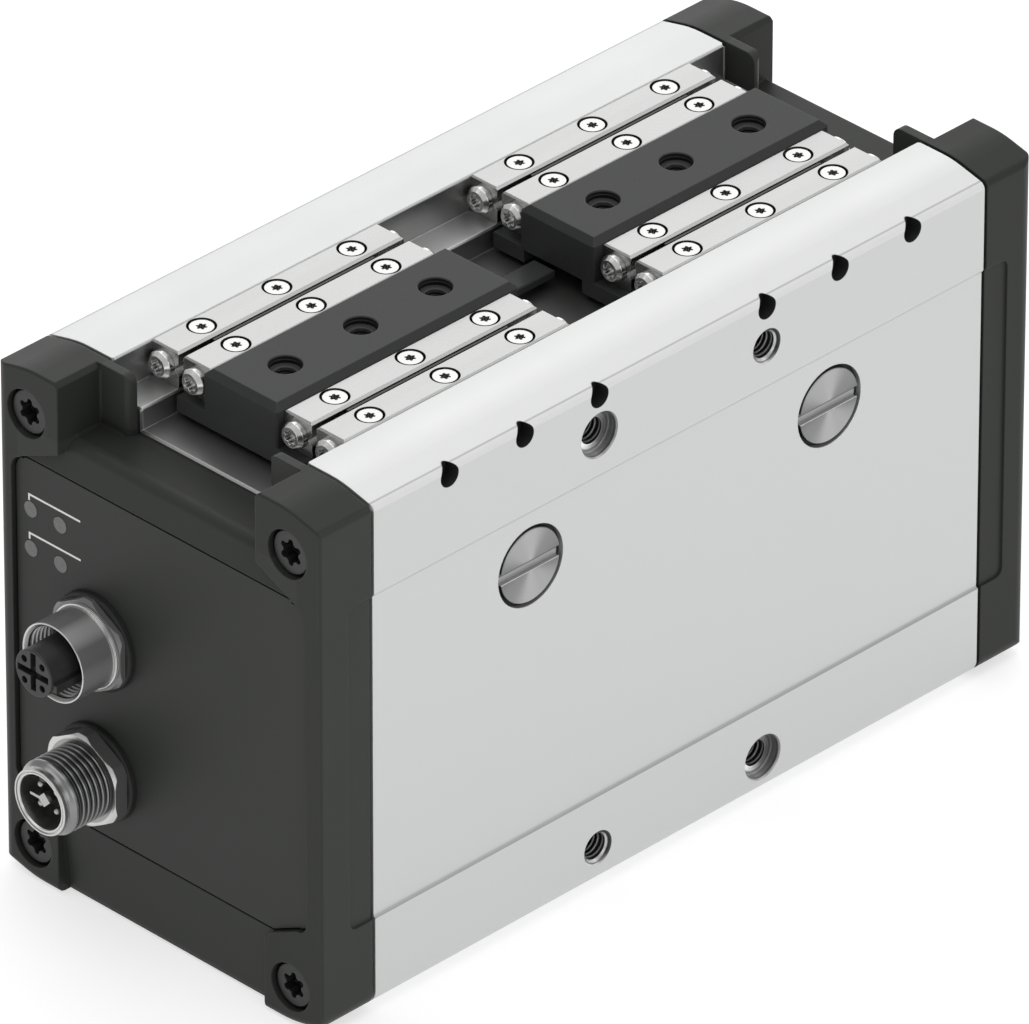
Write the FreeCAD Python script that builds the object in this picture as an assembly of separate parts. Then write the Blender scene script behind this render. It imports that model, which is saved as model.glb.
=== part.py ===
import FreeCAD, Part
import math
import os
from FreeCAD import Vector as V

# Electric parallel gripper with two jaws on crossed-roller guides.
# Millimetres. +X is the jaw travel, the connector end is at -X, +Z is up (jaws on top).
# The origin is the middle of the flat underside, on the plane between the jaws.

# ---------------------------------------------------------------- driving dimensions
RAIL_TOP = 86.7        # height of the guide rails' top faces
BODY_X = 62.0          # half length of the extruded body
BODY_W = 33.0          # half width of the body
FLANGE_TOP = RAIL_TOP - 0.1
TROUGH_Y = 19.5        # wall of the open trough
ARCH_START = 24.4      # the flat top bends down from here,
ARCH_R = 17.0          # with this radius,
ARCH_TILT = math.radians(13.4)   # to a slope of this tilt
EDGE_R, EDGE_LOW = 1.1, 2.5   # edge radius between slope and side, at the top and at the bottom
STEP_HI, STEP_LO = RAIL_TOP - 16.2, RAIL_TOP - 70.7   # limits of the sunk side band
STEP_D = 0.35          # how far that band is sunk
LEDGE_Z = RAIL_TOP - 6.0
LEDGE_Y = 13.9
FLOOR_Z = RAIL_TOP - 9.6
WEB_Z = 70.8           # underside of the trough's web
CAV_Y, CAV_Z0 = 26.0, 14.0
RIB_Y, RIB_Z0, RIB_Z1 = 22.0, 46.0, 52.6
JAW_X = 32.0           # hole pattern centre of a jaw
PITCH = 15.0           # hole pitch of rails and jaws
JAW_IN, JAW_OUT = 7.6, 56.0
JAW_TOP = RAIL_TOP + 0.93
STEM_Y, JAWFL_Y = 7.5, 12.9
JAW_BOT = RAIL_TOP - 8.5
RAIL_L, RAIL_H = 45.0, 6.0
GUIDE_Y = 13.5         # middle plane of a rail pair
ROLL_R = 1.0           # rolling radius of the crossed rollers
OUT_SCREW_Y, IN_SCREW_Y = 17.0, 10.0
SIDE_HOLE_X, FAR_HOLE_X, SIDE_HOLE_HI, SIDE_HOLE_LO = 17.0, 20.0, 77.2, 7.2
BASE_HOLE_X, BASE_HOLE_Y = 36.0, 18.0
CAP_F, CAP_B = -72.65, -62.6     # front and back plane of the connector-end cap
CAP_SCREW_Y, CAP_SCREW_HI, CAP_SCREW_LO = 26.45, 79.05, 6.25
SHELF_Z = RAIL_TOP - 10.1
BOSS_Y = 20.0
EAR_X, EAR_Y = -64.2, 14.1
PANEL_Y, PANEL_Z0, PANEL_Z1 = 29.75, 13.8, 71.3
FOIL_X = -71.9
PLUG_X, PLUG_Z, PLUG_R = 30.46, 61.12, 5.92
CON_Y, COM_Z, POW_Z = 13.25, RAIL_TOP - 40.1, RAIL_TOP - 62.35
MODULE, TEETH, PRESS = 1.0, 14, math.radians(25)
PITCH_R = MODULE * TEETH / 2
GEAR_Z0, GEAR_Z1 = 62.6, 70.2

os.makedirs("parts", exist_ok=True)
nodes = {}


# ---------------------------------------------------------------- small helpers
def box(x0, x1, y0, y1, z0, z1):
    return Part.makeBox(x1 - x0, y1 - y0, z1 - z0, V(x0, y0, z0))


def cylx(x0, x1, y, z, r):
    return Part.makeCylinder(r, x1 - x0, V(x0, y, z), V(1, 0, 0))


def cyly(y0, y1, x, z, r):
    return Part.makeCylinder(r, y1 - y0, V(x, y0, z), V(0, 1, 0))


def cylz(z0, z1, x, y, r):
    return Part.makeCylinder(r, z1 - z0, V(x, y, z0), V(0, 0, 1))


def cone(p, d, r0, r1, h):
    return Part.makeCone(r0, r1, h, V(*p), V(*d))


def prism(points, direction):
    w = Part.makePolygon([V(*p) for p in points] + [V(*points[0])])
    return Part.Face(w).extrude(V(*direction))


def prism_yz(points, x0, x1):
    return prism([(x0, y, z) for y, z in points], (x1 - x0, 0, 0))


def prism_xz(points, y0, y1):
    return prism([(x, y0, z) for x, z in points], (0, y1 - y0, 0))


def prism_xy(points, z0, z1):
    return prism([(x, y, z0) for x, y in points], (0, 0, z1 - z0))


def face_of(edges):
    return Part.Face(Part.Wire(edges))


def line(a, b):
    return Part.LineSegment(V(*a), V(*b)).toShape()


def arc(a, m, b):
    return Part.Arc(V(*a), V(*m), V(*b)).toShape()


def mirror_x(s):
    return s.mirror(V(0, 0, 0), V(1, 0, 0))


def mirror_y(s):
    return s.mirror(V(0, 0, 0), V(0, 1, 0))


def turn_z(s, deg=180):
    c = s.copy()
    c.rotate(V(0, 0, 0), V(0, 0, 1), deg)
    return c


def moved(s, x, y, z):
    c = s.copy()
    c.translate(V(x, y, z))
    return c


def aim(s, direction):
    """Turn a shape made along +Z so that it points along direction."""
    c = s.copy()
    c.Placement = FreeCAD.Placement(V(0, 0, 0), FreeCAD.Rotation(V(0, 0, 1), V(*direction)))
    return c


def put(name, shape):
    solids = shape if isinstance(shape, list) else [shape]
    nodes[name] = Part.makeCompound([s for x in solids for s in x.Solids])


def star(r, depth):
    """Six-lobed driver recess along +Z."""
    ri, rm = 0.70 * r, 0.86 * r
    e = []
    for k in range(6):
        a = math.radians(60 * k)
        q = [math.radians(t) for t in (-15, 0, 15, 30, 45)]
        pt = lambda rr, t: (rr * math.cos(a + t), rr * math.sin(a + t), 0)
        e.append(arc(pt(rm, q[0]), pt(r, q[1]), pt(rm, q[2])))
        e.append(arc(pt(rm, q[2]), pt(ri, q[3]), pt(rm, q[4])))
    return face_of(e).extrude(V(0, 0, depth))


def hexagon(af, h, corner=90):
    """Hexagonal prism along +Z, across flats af, one corner at the given angle."""
    r = af / 2 / math.cos(math.pi / 6)
    pts = [(r * math.cos(math.radians(corner + 60 * k)), r * math.sin(math.radians(corner + 60 * k)), 0) for k in range(6)]
    return prism(pts, (0, 0, h))


def revolve_x(profile, y, z):
    """Turn a closed (x, r) outline about the line through (y, z) along X."""
    w = Part.makePolygon([V(x, 0, r) for x, r in profile] + [V(profile[0][0], 0, profile[0][1])])
    s = Part.Face(w).revolve(V(0, 0, 0), V(1, 0, 0), 360)
    s = Part.makeSolid(s.Shells[0]) if not s.Solids else s.Solids[0]
    if s.Volume < 0:
        s.reverse()
    return moved(s, 0, y, z)


# ---------------------------------------------------------------- outline shared by body, caps and gaskets
def bent_edge(w, top, r):
    """Upper side edge from the flat top outwards: bend, slope and edge radius, ending on the upright side."""
    a, ym = ARCH_TILT, ARCH_R * math.sin(ARCH_TILT / 2)
    py, pz = ARCH_START + ARCH_R * math.sin(a), top - ARCH_R * (1 - math.cos(a))       # bend meets slope
    cy = w - r
    cz = pz - (cy - py) * math.tan(a) - r / math.cos(a)                                # centre of the edge radius
    ty, tz = cy + r * math.sin(a), cz + r * math.cos(a)                                # slope meets edge radius
    t = (a + math.pi / 2) / 2
    return [[(ARCH_START, top), (ARCH_START + ym, top - ARCH_R * (1 - math.cos(a / 2))), (py, pz)], [(py, pz), (ty, tz)],
            [(ty, tz), (cy + r * math.sin(t), cz + r * math.cos(t)), (w, cz)]]


def outline_wire(inset, sunk, x0, lift=0.0):
    """Closed outline: flat middle, bent-down sloping edges at top and bottom, upright sides."""
    w, top, bot = BODY_W - inset, FLANGE_TOP - inset, inset + lift
    up = bent_edge(w, top, EDGE_R - 0.6 * inset)
    down = [[(y, top + bot - z) for y, z in reversed(p)] for p in reversed(bent_edge(w, top, EDGE_LOW - 0.6 * inset))]
    cz, dz = up[-1][-1][1], down[0][0][1]
    chain = [[(w, cz), (w, dz)]]
    if sunk:
        stops = [(w, cz), (w, STEP_HI), (w - STEP_D, STEP_HI - 0.45), (w - STEP_D, STEP_LO + 0.25), (w, STEP_LO), (w, dz)]
        chain = [list(p) for p in zip(stops, stops[1:])]
    half = up + chain + down
    other = [[(-y, z) for y, z in reversed(p)] for p in reversed(half)]
    loop = [[(-ARCH_START, top), (ARCH_START, top)]] + half + [[(ARCH_START, bot), (-ARCH_START, bot)]] + other
    edges = [(arc if len(p) == 3 else line)(*[(x0, y, z) for y, z in p]) for p in loop]
    return Part.Wire(edges)


def outline(inset, sunk, x0, x1):
    return Part.Face(outline_wire(inset, sunk, x0)).extrude(V(x1 - x0, 0, 0))


# ---------------------------------------------------------------- extruded body
body = outline(0, True, -BODY_X, BODY_X)
trough = [(-TROUGH_Y - 0.3, FLANGE_TOP + 0.05), (-TROUGH_Y, FLANGE_TOP - 0.3), (-TROUGH_Y, LEDGE_Z), (-LEDGE_Y - 0.3, LEDGE_Z), (-LEDGE_Y, LEDGE_Z - 0.3), (-LEDGE_Y, FLOOR_Z)]
trough = trough + [(-y, z) for y, z in reversed(trough)]
body = body.cut(prism_yz(trough, -90, 90)).cut(box(-90, 90, -TROUGH_Y - 0.3, TROUGH_Y + 0.3, FLANGE_TOP + 0.05, 95))
# broken edge round both mouths of the trough
wide = [(y - math.copysign(0.3, -y), z if z > FLANGE_TOP else z - 0.3) for y, z in trough]
for s in (1, -1):
    ends = [Part.makePolygon([V(s * x, y, z) for y, z in p + [p[0]]]) for x, p in ((BODY_X - 0.3, trough), (BODY_X, wide))]
    body = body.cut(Part.makeLoft(ends, True, True))
cav = box(-90, 90, -CAV_Y, CAV_Y, CAV_Z0, WEB_Z)
cav = cav.makeFillet(2.5, [e for e in cav.Edges if e.Length > 100])
for s in (1, -1):
    y0, y1 = sorted((s * RIB_Y, s * (CAV_Y + 1)))
    cav = cav.cut(box(-91, 91, y0, y1, RIB_Z0, RIB_Z1))
body = body.cut(cav)
# two slots in the trough floor: the jaws' drive dogs reach down through them
body = body.cut(box(10.6, 53.4, 3.25, 7.4, WEB_Z - 1, FLOOR_Z + 1)).cut(box(-53.4, -10.6, -7.4, -3.25, WEB_Z - 1, FLOOR_Z + 1))
hole = []
for s, hx in ((1, FAR_HOLE_X), (-1, SIDE_HOLE_X)):
    for x in (-hx, hx):
        for z in (SIDE_HOLE_HI, SIDE_HOLE_LO):
            y0, y1 = sorted((s * (BODY_W - 11), s * (BODY_W + 1)))
            hole.append(cyly(y0, y1, x, z, 2.1))
            wide = (x * s > 0) == (z == SIDE_HOLE_HI)
            d = (0, -s, 0)
            if wide:
                y0, y1 = sorted((s * (BODY_W - 1.7), s * (BODY_W + 1)))
                hole.append(cyly(y0, y1, x, z, 3.5))
                hole.append(cone((x, s * BODY_W, z), d, 3.72, 3.45, 0.27))
            else:
                hole.append(cone((x, s * BODY_W, z), d, 2.82, 2.05, 0.77))
for x in (-BASE_HOLE_X, BASE_HOLE_X):
    for y in (-BASE_HOLE_Y, BASE_HOLE_Y):
        hole.append(cylz(-1, 10, x, y, 2.1))
        if x * y > 0:
            hole.append(cylz(-1, 1.7, x, y, 3.5))
        else:
            hole.append(cone((x, y, 0), (0, 0, 1), 2.82, 2.05, 0.77))
rail_x = [s * (JAW_X + k * PITCH) for s in (-1, 1) for k in (-1, 0, 1)]
PRELOAD_Z = RAIL_TOP - 3.1
for x in rail_x:
    hole.append(cyly(-BODY_W - 1, -TROUGH_Y + 0.1, x, PRELOAD_Z, 1.75))
    for y in (-OUT_SCREW_Y, OUT_SCREW_Y):
        hole.append(cylz(72.5, LEDGE_Z + 0.1, x, y, 1.25))
for x in (-PLUG_X, PLUG_X):
    hole.append(cyly(-BODY_W - 1, -28.0, x, PLUG_Z, 6.55))
    hole.append(cyly(-BODY_W - 1, -CAV_Y + 1, x, PLUG_Z, 5.6))
for s in (-1, 1):
    for y in (-CAP_SCREW_Y, CAP_SCREW_Y):
        for z in (CAP_SCREW_HI, CAP_SCREW_LO):
            x0, x1 = sorted((s * 48.0, s * (BODY_X + 1)))
            hole.append(cylx(x0, x1, y, z, 1.65))
for x in (-20, 20):
    for y in (-24, 24):
        hole.append(cylz(RIB_Z0 - 1, RIB_Z1 + 1, x, y, 1.25))
body = body.cut(Part.makeCompound(hole))
put("housing_profile", body)


# ---------------------------------------------------------------- end caps
def panel_outline(inset, x0, x1):
    """Panel window: rounded top corners, oblique bottom corners round the lower screw bosses."""
    y, z0, z1 = PANEL_Y - inset, PANEL_Z0 + inset, PANEL_Z1 - inset
    r = 2.6
    q = r * (1 - math.sqrt(0.5))
    e = []
    k = lambda a, b: (x0, a, b)
    e.append(line(k(22.5, z0), k(-22.5, z0)))
    e.append(line(k(-22.5, z0), k(-27.9 + 0.9 * inset, z0 + 2.6)))
    e.append(arc(k(-27.9 + 0.9 * inset, z0 + 2.6), k(-y + 0.33, z0 + 3.35), k(-y, z0 + 4.6)))
    e.append(line(k(-y, z0 + 4.6), k(-y, z1 - r)))
    e.append(arc(k(-y, z1 - r), k(-y + q, z1 - q), k(-y + r, z1)))
    e.append(line(k(-y + r, z1), k(y - r, z1)))
    e.append(arc(k(y - r, z1), k(y - q, z1 - q), k(y, z1 - r)))
    e.append(line(k(y, z1 - r), k(y, z0 + 4.6)))
    e.append(arc(k(y, z0 + 4.6), k(y - 0.33, z0 + 3.35), k(27.9 - 0.9 * inset, z0 + 2.6)))
    e.append(line(k(27.9 - 0.9 * inset, z0 + 2.6), k(22.5, z0)))
    return face_of(e).extrude(V(x1 - x0, 0, 0))


def cove(corner, a, b, r, direction):
    """Concave fillet strip: corner point, two unit directions along the faces, swept along direction."""
    c, a, b = V(*corner), V(*a), V(*b)
    p, q = c + a * r, c + b * r
    m = c + (a + b) * (r * (1 - math.sqrt(0.5)))
    e = [Part.LineSegment(c, p).toShape(), Part.Arc(p, m, q).toShape(), Part.LineSegment(q, c).toShape()]
    return face_of(e).extrude(V(*direction))


def end_cap(front):
    cap = outline(0, False, CAP_F + 1.3, CAP_B)
    # softened outer edge, rounder along the bottom
    soft = [outline_wire(i, False, CAP_F + d, 1.3 - math.sqrt(d * (2.6 - d)) - i)
            for i, d in ((0.3, 0.0), (0.09, 0.09), (0.0, 0.3), (0.0, 0.65), (0.0, 1.3))]
    for a, b in zip(soft, soft[1:]):
        cap = cap.fuse(Part.makeLoft([a, b], True, True))
    cap = cap.removeSplitter()
    # upright corners: one sharp, the other well rounded
    rv, rw = 0.4, 2.4
    q, qw = rv * (1 - math.sqrt(0.5)), rw * (1 - math.sqrt(0.5))
    k = lambda x, y: (x, y, -1)
    plan = face_of([
        line(k(CAP_B, -BODY_W), k(CAP_B, BODY_W)), line(k(CAP_B, BODY_W), k(CAP_F + rw, BODY_W)),
        arc(k(CAP_F + rw, BODY_W), k(CAP_F + qw, BODY_W - qw), k(CAP_F, BODY_W - rw)),
        line(k(CAP_F, BODY_W - rw), k(CAP_F, -BODY_W + rv)),
        arc(k(CAP_F, -BODY_W + rv), k(CAP_F + q, -BODY_W + q), k(CAP_F + rv, -BODY_W)),
        line(k(CAP_F + rv, -BODY_W), k(CAP_B, -BODY_W))]).extrude(V(0, 0, 100))
    cap = cap.common(plan)
    # opening for the jaw between the two upper screw bosses, with an ear left at each side of the trough
    cap = cap.cut(box(CAP_F - 1, EAR_X, -BOSS_Y, BOSS_Y, SHELF_Z, 95))
    cap = cap.cut(box(CAP_F - 1, CAP_B + 1, -EAR_Y, EAR_Y, SHELF_Z, 95))
    for s in (1, -1):
        r = 1.5
        q2 = r * (1 - math.sqrt(0.5))
        f = lambda y, z: (EAR_X - 0.01, s * y, z)
        cap = cap.cut(face_of([
            line(f(EAR_Y - 0.5, FLANGE_TOP + 0.5), f(EAR_Y - 0.5, FLANGE_TOP - r)), line(f(EAR_Y - 0.5, FLANGE_TOP - r), f(EAR_Y, FLANGE_TOP - r)),
            arc(f(EAR_Y, FLANGE_TOP - r), f(EAR_Y + q2, FLANGE_TOP - q2), f(EAR_Y + r, FLANGE_TOP)),
            line(f(EAR_Y + r, FLANGE_TOP), f(EAR_Y + r, FLANGE_TOP + 0.5)), line(f(EAR_Y + r, FLANGE_TOP + 0.5), f(EAR_Y - 0.5, FLANGE_TOP + 0.5))]).extrude(V(3, 0, 0)))
        # rounded upright edge of the ear
        f = lambda x, y: (EAR_X + x, s * (EAR_Y + y), SHELF_Z)
        cap = cap.cut(face_of([
            line(f(-0.1, -0.1), f(1.0, -0.1)), line(f(1.0, -0.1), f(1.0, 0)), arc(f(1.0, 0), f(0.293, 0.293), f(0, 1.0)),
            line(f(0, 1.0), f(-0.1, 1.0)), line(f(-0.1, 1.0), f(-0.1, -0.1))]).extrude(V(0, 0, 20)))
        # bevelled inner top edge of the boss
        cap = cap.cut(prism_yz([(s * (BOSS_Y - 0.1), FLANGE_TOP - 0.8), (s * (BOSS_Y + 0.75), FLANGE_TOP + 0.05), (s * (BOSS_Y - 0.1), FLANGE_TOP + 0.05)], CAP_F - 1, EAR_X - 0.0))
    # leaning band from the shelf down to the panel
    k = lambda x, z: (x, -30, z)
    lip = [(-71.05, SHELF_Z - 1.5), (-70.5, SHELF_Z - 0.42), (-69.4, SHELF_Z)] if front else [(-71.6, SHELF_Z - 0.6), (-71.42, SHELF_Z - 0.18), (-71.0, SHELF_Z)]
    band = face_of([
        line(k(CAP_F - 1, PANEL_Z1), k(FOIL_X, PANEL_Z1)), line(k(FOIL_X, PANEL_Z1), k(*lip[0])), arc(*[k(*p) for p in lip]),
        line(k(*lip[2]), k(lip[2][0], SHELF_Z + 1)), line(k(lip[2][0], SHELF_Z + 1), k(CAP_F - 1, SHELF_Z + 1)),
        line(k(CAP_F - 1, SHELF_Z + 1), k(CAP_F - 1, PANEL_Z1))]).extrude(V(0, 60, 0))
    zk = 74.9
    window = prism_yz([(-28.2, PANEL_Z1 - 0.1), (28.2, PANEL_Z1 - 0.1), (BOSS_Y, zk), (BOSS_Y, 80), (-BOSS_Y, 80), (-BOSS_Y, zk)], CAP_F - 2, -60)
    cap = cap.cut(band.common(window))
    # set-back band under the panel, between the lower bosses
    low = prism_xz([(CAP_F - 1, PANEL_Z0 + 0.1), (FOIL_X, PANEL_Z0 + 0.1), (-70.7, -0.1), (CAP_F - 1, -0.1)], -30, 30)
    low = low.common(prism_yz([(-22.7, PANEL_Z0 + 0.1), (22.7, PANEL_Z0 + 0.1), (21.2, PANEL_Z0 - 1.4), (21.2, -1), (-21.2, -1), (-21.2, PANEL_Z0 - 1.4)], CAP_F - 2, -60))
    cap = cap.cut(low)
    cap = cap.cut(cove((-70.75, -21.2, -0.02), (1, 0, 0), (0, 0, 1), 1.3, (0, 42.4, 0)))
    # sunk panel window
    cap = cap.cut(panel_outline(0, CAP_F - 1, -71.3 if front else FOIL_X))
    # shallow side bands that carry on the body's sunk band
    for s in (1, -1):
        k = lambda x, z: (x, s * (BODY_W - STEP_D), z)
        rr, xa = 1.4, -67.1
        qq = rr * (1 - math.sqrt(0.5))
        z0, z1 = STEP_LO + 0.1, STEP_HI - 0.1
        cap = cap.cut(face_of([
            line(k(CAP_B + 1, z0), k(xa + rr, z0)), arc(k(xa + rr, z0), k(xa + qq, z0 + qq), k(xa, z0 + rr)),
            line(k(xa, z0 + rr), k(xa, z1 - rr)), arc(k(xa, z1 - rr), k(xa + qq, z1 - qq), k(xa + rr, z1)),
            line(k(xa + rr, z1), k(CAP_B + 1, z1)), line(k(CAP_B + 1, z1), k(CAP_B + 1, z0))]).extrude(V(0, s * 2, 0)))
    # soft inner corners of the jaw opening
    add = []
    for s in (1, -1):
        add.append(cove((lip[2][0], s * BOSS_Y, SHELF_Z), (0, -s, 0), (0, 0, 1), 0.35, (EAR_X - lip[2][0], 0, 0)))
        y0, y1 = sorted((s * (EAR_Y + 1.0), s * BOSS_Y))
        add.append(cove((EAR_X, y0, SHELF_Z), (-1, 0, 0), (0, 0, 1), 0.35, (0, y1 - y0, 0)))
        add.append(cove((EAR_X, s * BOSS_Y, SHELF_Z), (-1, 0, 0), (0, -s, 0), 0.35, (0, 0, FLANGE_TOP - 0.9 - SHELF_Z)))
    for a in add:
        cap = cap.fuse(a)
    cap = cap.removeSplitter()
    # hollow back
    cap = cap.cut(box(-67.5, CAP_B + 1, -24.0, 24.0, 15.0, 69.0))
    cut = []
    for y in (-CAP_SCREW_Y, CAP_SCREW_Y):
        for z in (CAP_SCREW_HI, CAP_SCREW_LO):
            cut.append(cylx(CAP_F - 1, -68.2, y, z, 3.85))
            cut.append(cylx(CAP_F - 1, CAP_B + 1, y, z, 2.2))
    if front:
        for z in (COM_Z, POW_Z):
            cut.append(cylx(CAP_F - 1, -66, CON_Y, z, 6.0))
        for y, z in LEDS:
            cut.append(cylx(CAP_F - 1, -67.4, y, z, 1.36))
    return cap.cut(Part.makeCompound(cut))


LEDS = [(y, RAIL_TOP + z) for y in (26.6, 20.55) for z in (-24.0, -30.6)]
front_cap = end_cap(True)
rear_cap = turn_z(end_cap(False))
put("front_cap", front_cap)
put("rear_cap", rear_cap)

gasket = outline(0.9, False, CAP_B, -BODY_X)
gasket = gasket.cut(box(-90, 0, -TROUGH_Y - 0.5, TROUGH_Y + 0.5, LEDGE_Z - 0.5, 95)).cut(box(-90, 0, -LEDGE_Y - 0.5, LEDGE_Y + 0.5, FLOOR_Z - 0.6, 95))
gasket = gasket.cut(box(-90, 0, -25.0, 25.0, 15.0, 69.8))
gasket = gasket.cut(Part.makeCompound([cylx(-70, -50, y, z, 2.3) for y in (-CAP_SCREW_Y, CAP_SCREW_Y) for z in (CAP_SCREW_HI, CAP_SCREW_LO)]))
put("front_cap_gasket", gasket)
put("rear_cap_gasket", turn_z(gasket))


def cap_screw(y, z):
    head = cylx(CAP_F + 0.7, -68.2, y, z, 3.5)
    head = head.makeChamfer(0.2, [e for e in head.Edges if abs(e.BoundBox.XMin - (CAP_F + 0.7)) < 1e-6 and e.BoundBox.XLength < 1e-6])
    s = head.fuse(cylx(-68.2, -49.0, y, z, 1.6)).removeSplitter()
    return s.cut(moved(aim(star(2.15, 2.2), (1, 0, 0)), CAP_F + 0.7, y, z))


cs = [cap_screw(y, z) for y in (-CAP_SCREW_Y, CAP_SCREW_Y) for z in (CAP_SCREW_HI, CAP_SCREW_LO)]
put("front_cap_screws", cs)
put("rear_cap_screws", [turn_z(s) for s in cs])

# ---------------------------------------------------------------- crossed-roller guides
GZ = RAIL_TOP - RAIL_H / 2
VG = ROLL_R * math.sqrt(2) - 0.5          # half height of the V at the rail face
END_SCREW_Z = GZ + 0.15


def rail(inner):
    """One rail of the guide on the +Y side of the right jaw: outer rail, or its mirror image as the inner rail."""
    b, t = LEDGE_Z, RAIL_TOP
    pts = [(14.25, b), (19.2, b), (19.5, b + 0.3), (19.5, t - 0.25), (19.25, t), (14.35, t), (14.0, t - 0.35),
           (14.0, GZ + VG), (GUIDE_Y + ROLL_R * math.sqrt(2), GZ), (14.0, GZ - VG), (14.0, b + 0.25)]
    if inner:
        pts = [(2 * GUIDE_Y - y, z) for y, z in pts]
    r = prism_yz(pts, JAW_X - RAIL_L / 2, JAW_X + RAIL_L / 2)
    sy = IN_SCREW_Y if inner else OUT_SCREW_Y
    ey = 2 * GUIDE_Y - 16.9 if inner else 16.9
    cut = []
    for k in (-1, 0, 1):
        cut.append(cylz(RAIL_TOP - 2.1, RAIL_TOP + 1, JAW_X + k * PITCH, sy, 2.2))
        cut.append(cylz(LEDGE_Z - 1, RAIL_TOP, JAW_X + k * PITCH, sy, 1.3))
    for x in (JAW_X - RAIL_L / 2 - 1, JAW_X + RAIL_L / 2 - 5):
        cut.append(cylx(x, x + 6, ey, END_SCREW_Z, 1.05))
    for d in (-1, 1):
        x = JAW_X + d * RAIL_L / 2
        cut.append(prism_xz([(x + d * 0.05, t - 0.3), (x + d * 0.05, t + 0.05), (x - d * 0.3, t + 0.05)], 0, 30))
    return r.cut(Part.makeCompound(cut))


def rail_screw(x, y, z_end):
    top = RAIL_TOP - 0.1
    h = cylz(RAIL_TOP - 2.1, top, x, y, 1.84)
    s = h.fuse(cylz(z_end, RAIL_TOP - 2.1, x, y, 1.2)).removeSplitter()
    return s.cut(moved(star(0.85, 1.2), x, y, top - 1.0))


def end_screw(x, y, s):
    """Button-head screw on a rail's end face; s is the way the head points along X."""
    h = Part.makeCylinder(2.15, 0.95).fuse(Part.makeCone(2.15, 1.62, 0.62, V(0, 0, 0.95)))
    h = h.fuse(Part.makeCylinder(1.0, 4.5, V(0, 0, -4.5))).removeSplitter()
    h = h.cut(moved(star(1.2, 1.2), 0, 0, 0.8))
    return moved(aim(h, (s, 0, 0)), x, y, END_SCREW_Z)


right_out_far = rail(False)
right_in_far = rail(True)
put("right_far_outer_rail", right_out_far)
put("right_near_outer_rail", mirror_y(right_out_far))
put("left_far_outer_rail", mirror_x(right_out_far))
put("left_near_outer_rail", turn_z(right_out_far))
put("outer_rail_screws", [rail_screw(x, y, 73.5) for x in rail_x for y in (-OUT_SCREW_Y, OUT_SCREW_Y)])
ends = [(s * JAW_X + d * RAIL_L / 2, d) for s in (-1, 1) for d in (-1, 1)]
put("outer_rail_end_screws", [end_screw(x, y, d) for x, d in ends for y in (-16.9, 16.9)])


def set_screw(x):
    s = cyly(-30.5, -TROUGH_Y, x, PRELOAD_Z, 1.68)
    return s.cut(moved(aim(hexagon(1.5, 2.5), (0, 1, 0)), x, -30.6, PRELOAD_Z))


put("preload_set_screws", [set_screw(x) for x in rail_x])

# roller cages: thin strips with slanted windows, and the crossed rollers in them
CAGE_L, ROLL_PITCH, ROLLERS = 32.0, 4.2, 7


def cage_set(side_y):
    """Cage and rollers of the right jaw's guide at y = side_y * GUIDE_Y."""
    y = side_y * GUIDE_Y
    strip = box(JAW_X - CAGE_L / 2, JAW_X + CAGE_L / 2, y - 0.2, y + 0.2, RAIL_TOP - 5.4, RAIL_TOP - 0.35)
    rolls = []
    for k in range(ROLLERS):
        x = JAW_X + (k - (ROLLERS - 1) / 2) * ROLL_PITCH
        d = V(0, 1, 1) if k % 2 else V(0, 1, -1)
        d.normalize()
        c = V(x, y, GZ)
        rolls.append(Part.makeCylinder(ROLL_R - 0.03, 1.86, c - d * 0.93, d))
        strip = strip.cut(Part.makeCylinder(ROLL_R + 0.02, 6, c - d * 3, d))
    return strip, rolls


cages = {1: cage_set(1), -1: cage_set(-1)}
put("right_roller_cages", [cages[1][0], cages[-1][0]])
put("right_rollers", cages[1][1] + cages[-1][1])
put("left_roller_cages", [mirror_x(cages[1][0]), mirror_x(cages[-1][0])])
put("left_rollers", [mirror_x(r) for r in cages[1][1] + cages[-1][1]])

# ---------------------------------------------------------------- jaws and racks
jaw = prism_yz([(-JAWFL_Y, JAW_BOT), (JAWFL_Y, JAW_BOT), (JAWFL_Y, LEDGE_Z), (STEM_Y - 0.05, LEDGE_Z), (STEM_Y - 0.05, JAW_TOP),
                (-STEM_Y + 0.05, JAW_TOP), (-STEM_Y + 0.05, LEDGE_Z), (-JAWFL_Y, LEDGE_Z)], JAW_IN, JAW_OUT)
jaw = jaw.makeChamfer(1.0, [e for e in jaw.Edges if abs(e.BoundBox.ZMin - JAW_TOP) < 1e-6 and e.BoundBox.ZLength < 1e-6])
cut = []
for k in (-1, 0, 1):
    x = JAW_X + k * PITCH
    cut.append(cylz(JAW_TOP - 1.3, JAW_TOP + 1, x, 0, 2.5))
    cut.append(cylz(JAW_TOP - 8.4, JAW_TOP, x, 0, 1.25))
    cut.append(cone((x, 0, JAW_TOP), (0, 0, -1), 2.62, 2.5, 0.12))
    cut.append(cone((x, 0, JAW_TOP - 1.3), (0, 0, -1), 1.7, 1.25, 0.45))
    for y in (-IN_SCREW_Y, IN_SCREW_Y):
        cut.append(cylz(JAW_BOT - 1, LEDGE_Z + 1, x, y, 1.25))
DOG_Y0, DOG_Y1, DOG_X0, DOG_X1 = 3.8, 7.0, 18.0, 46.0
RACK_BACK = 12.5
rack_screw_x = (24.5, 39.5)
for x in rack_screw_x:
    cut.append(cylz(JAW_BOT - 1, 83.6, x, 5.4, 1.25))
jaw = jaw.cut(Part.makeCompound(cut))
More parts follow.
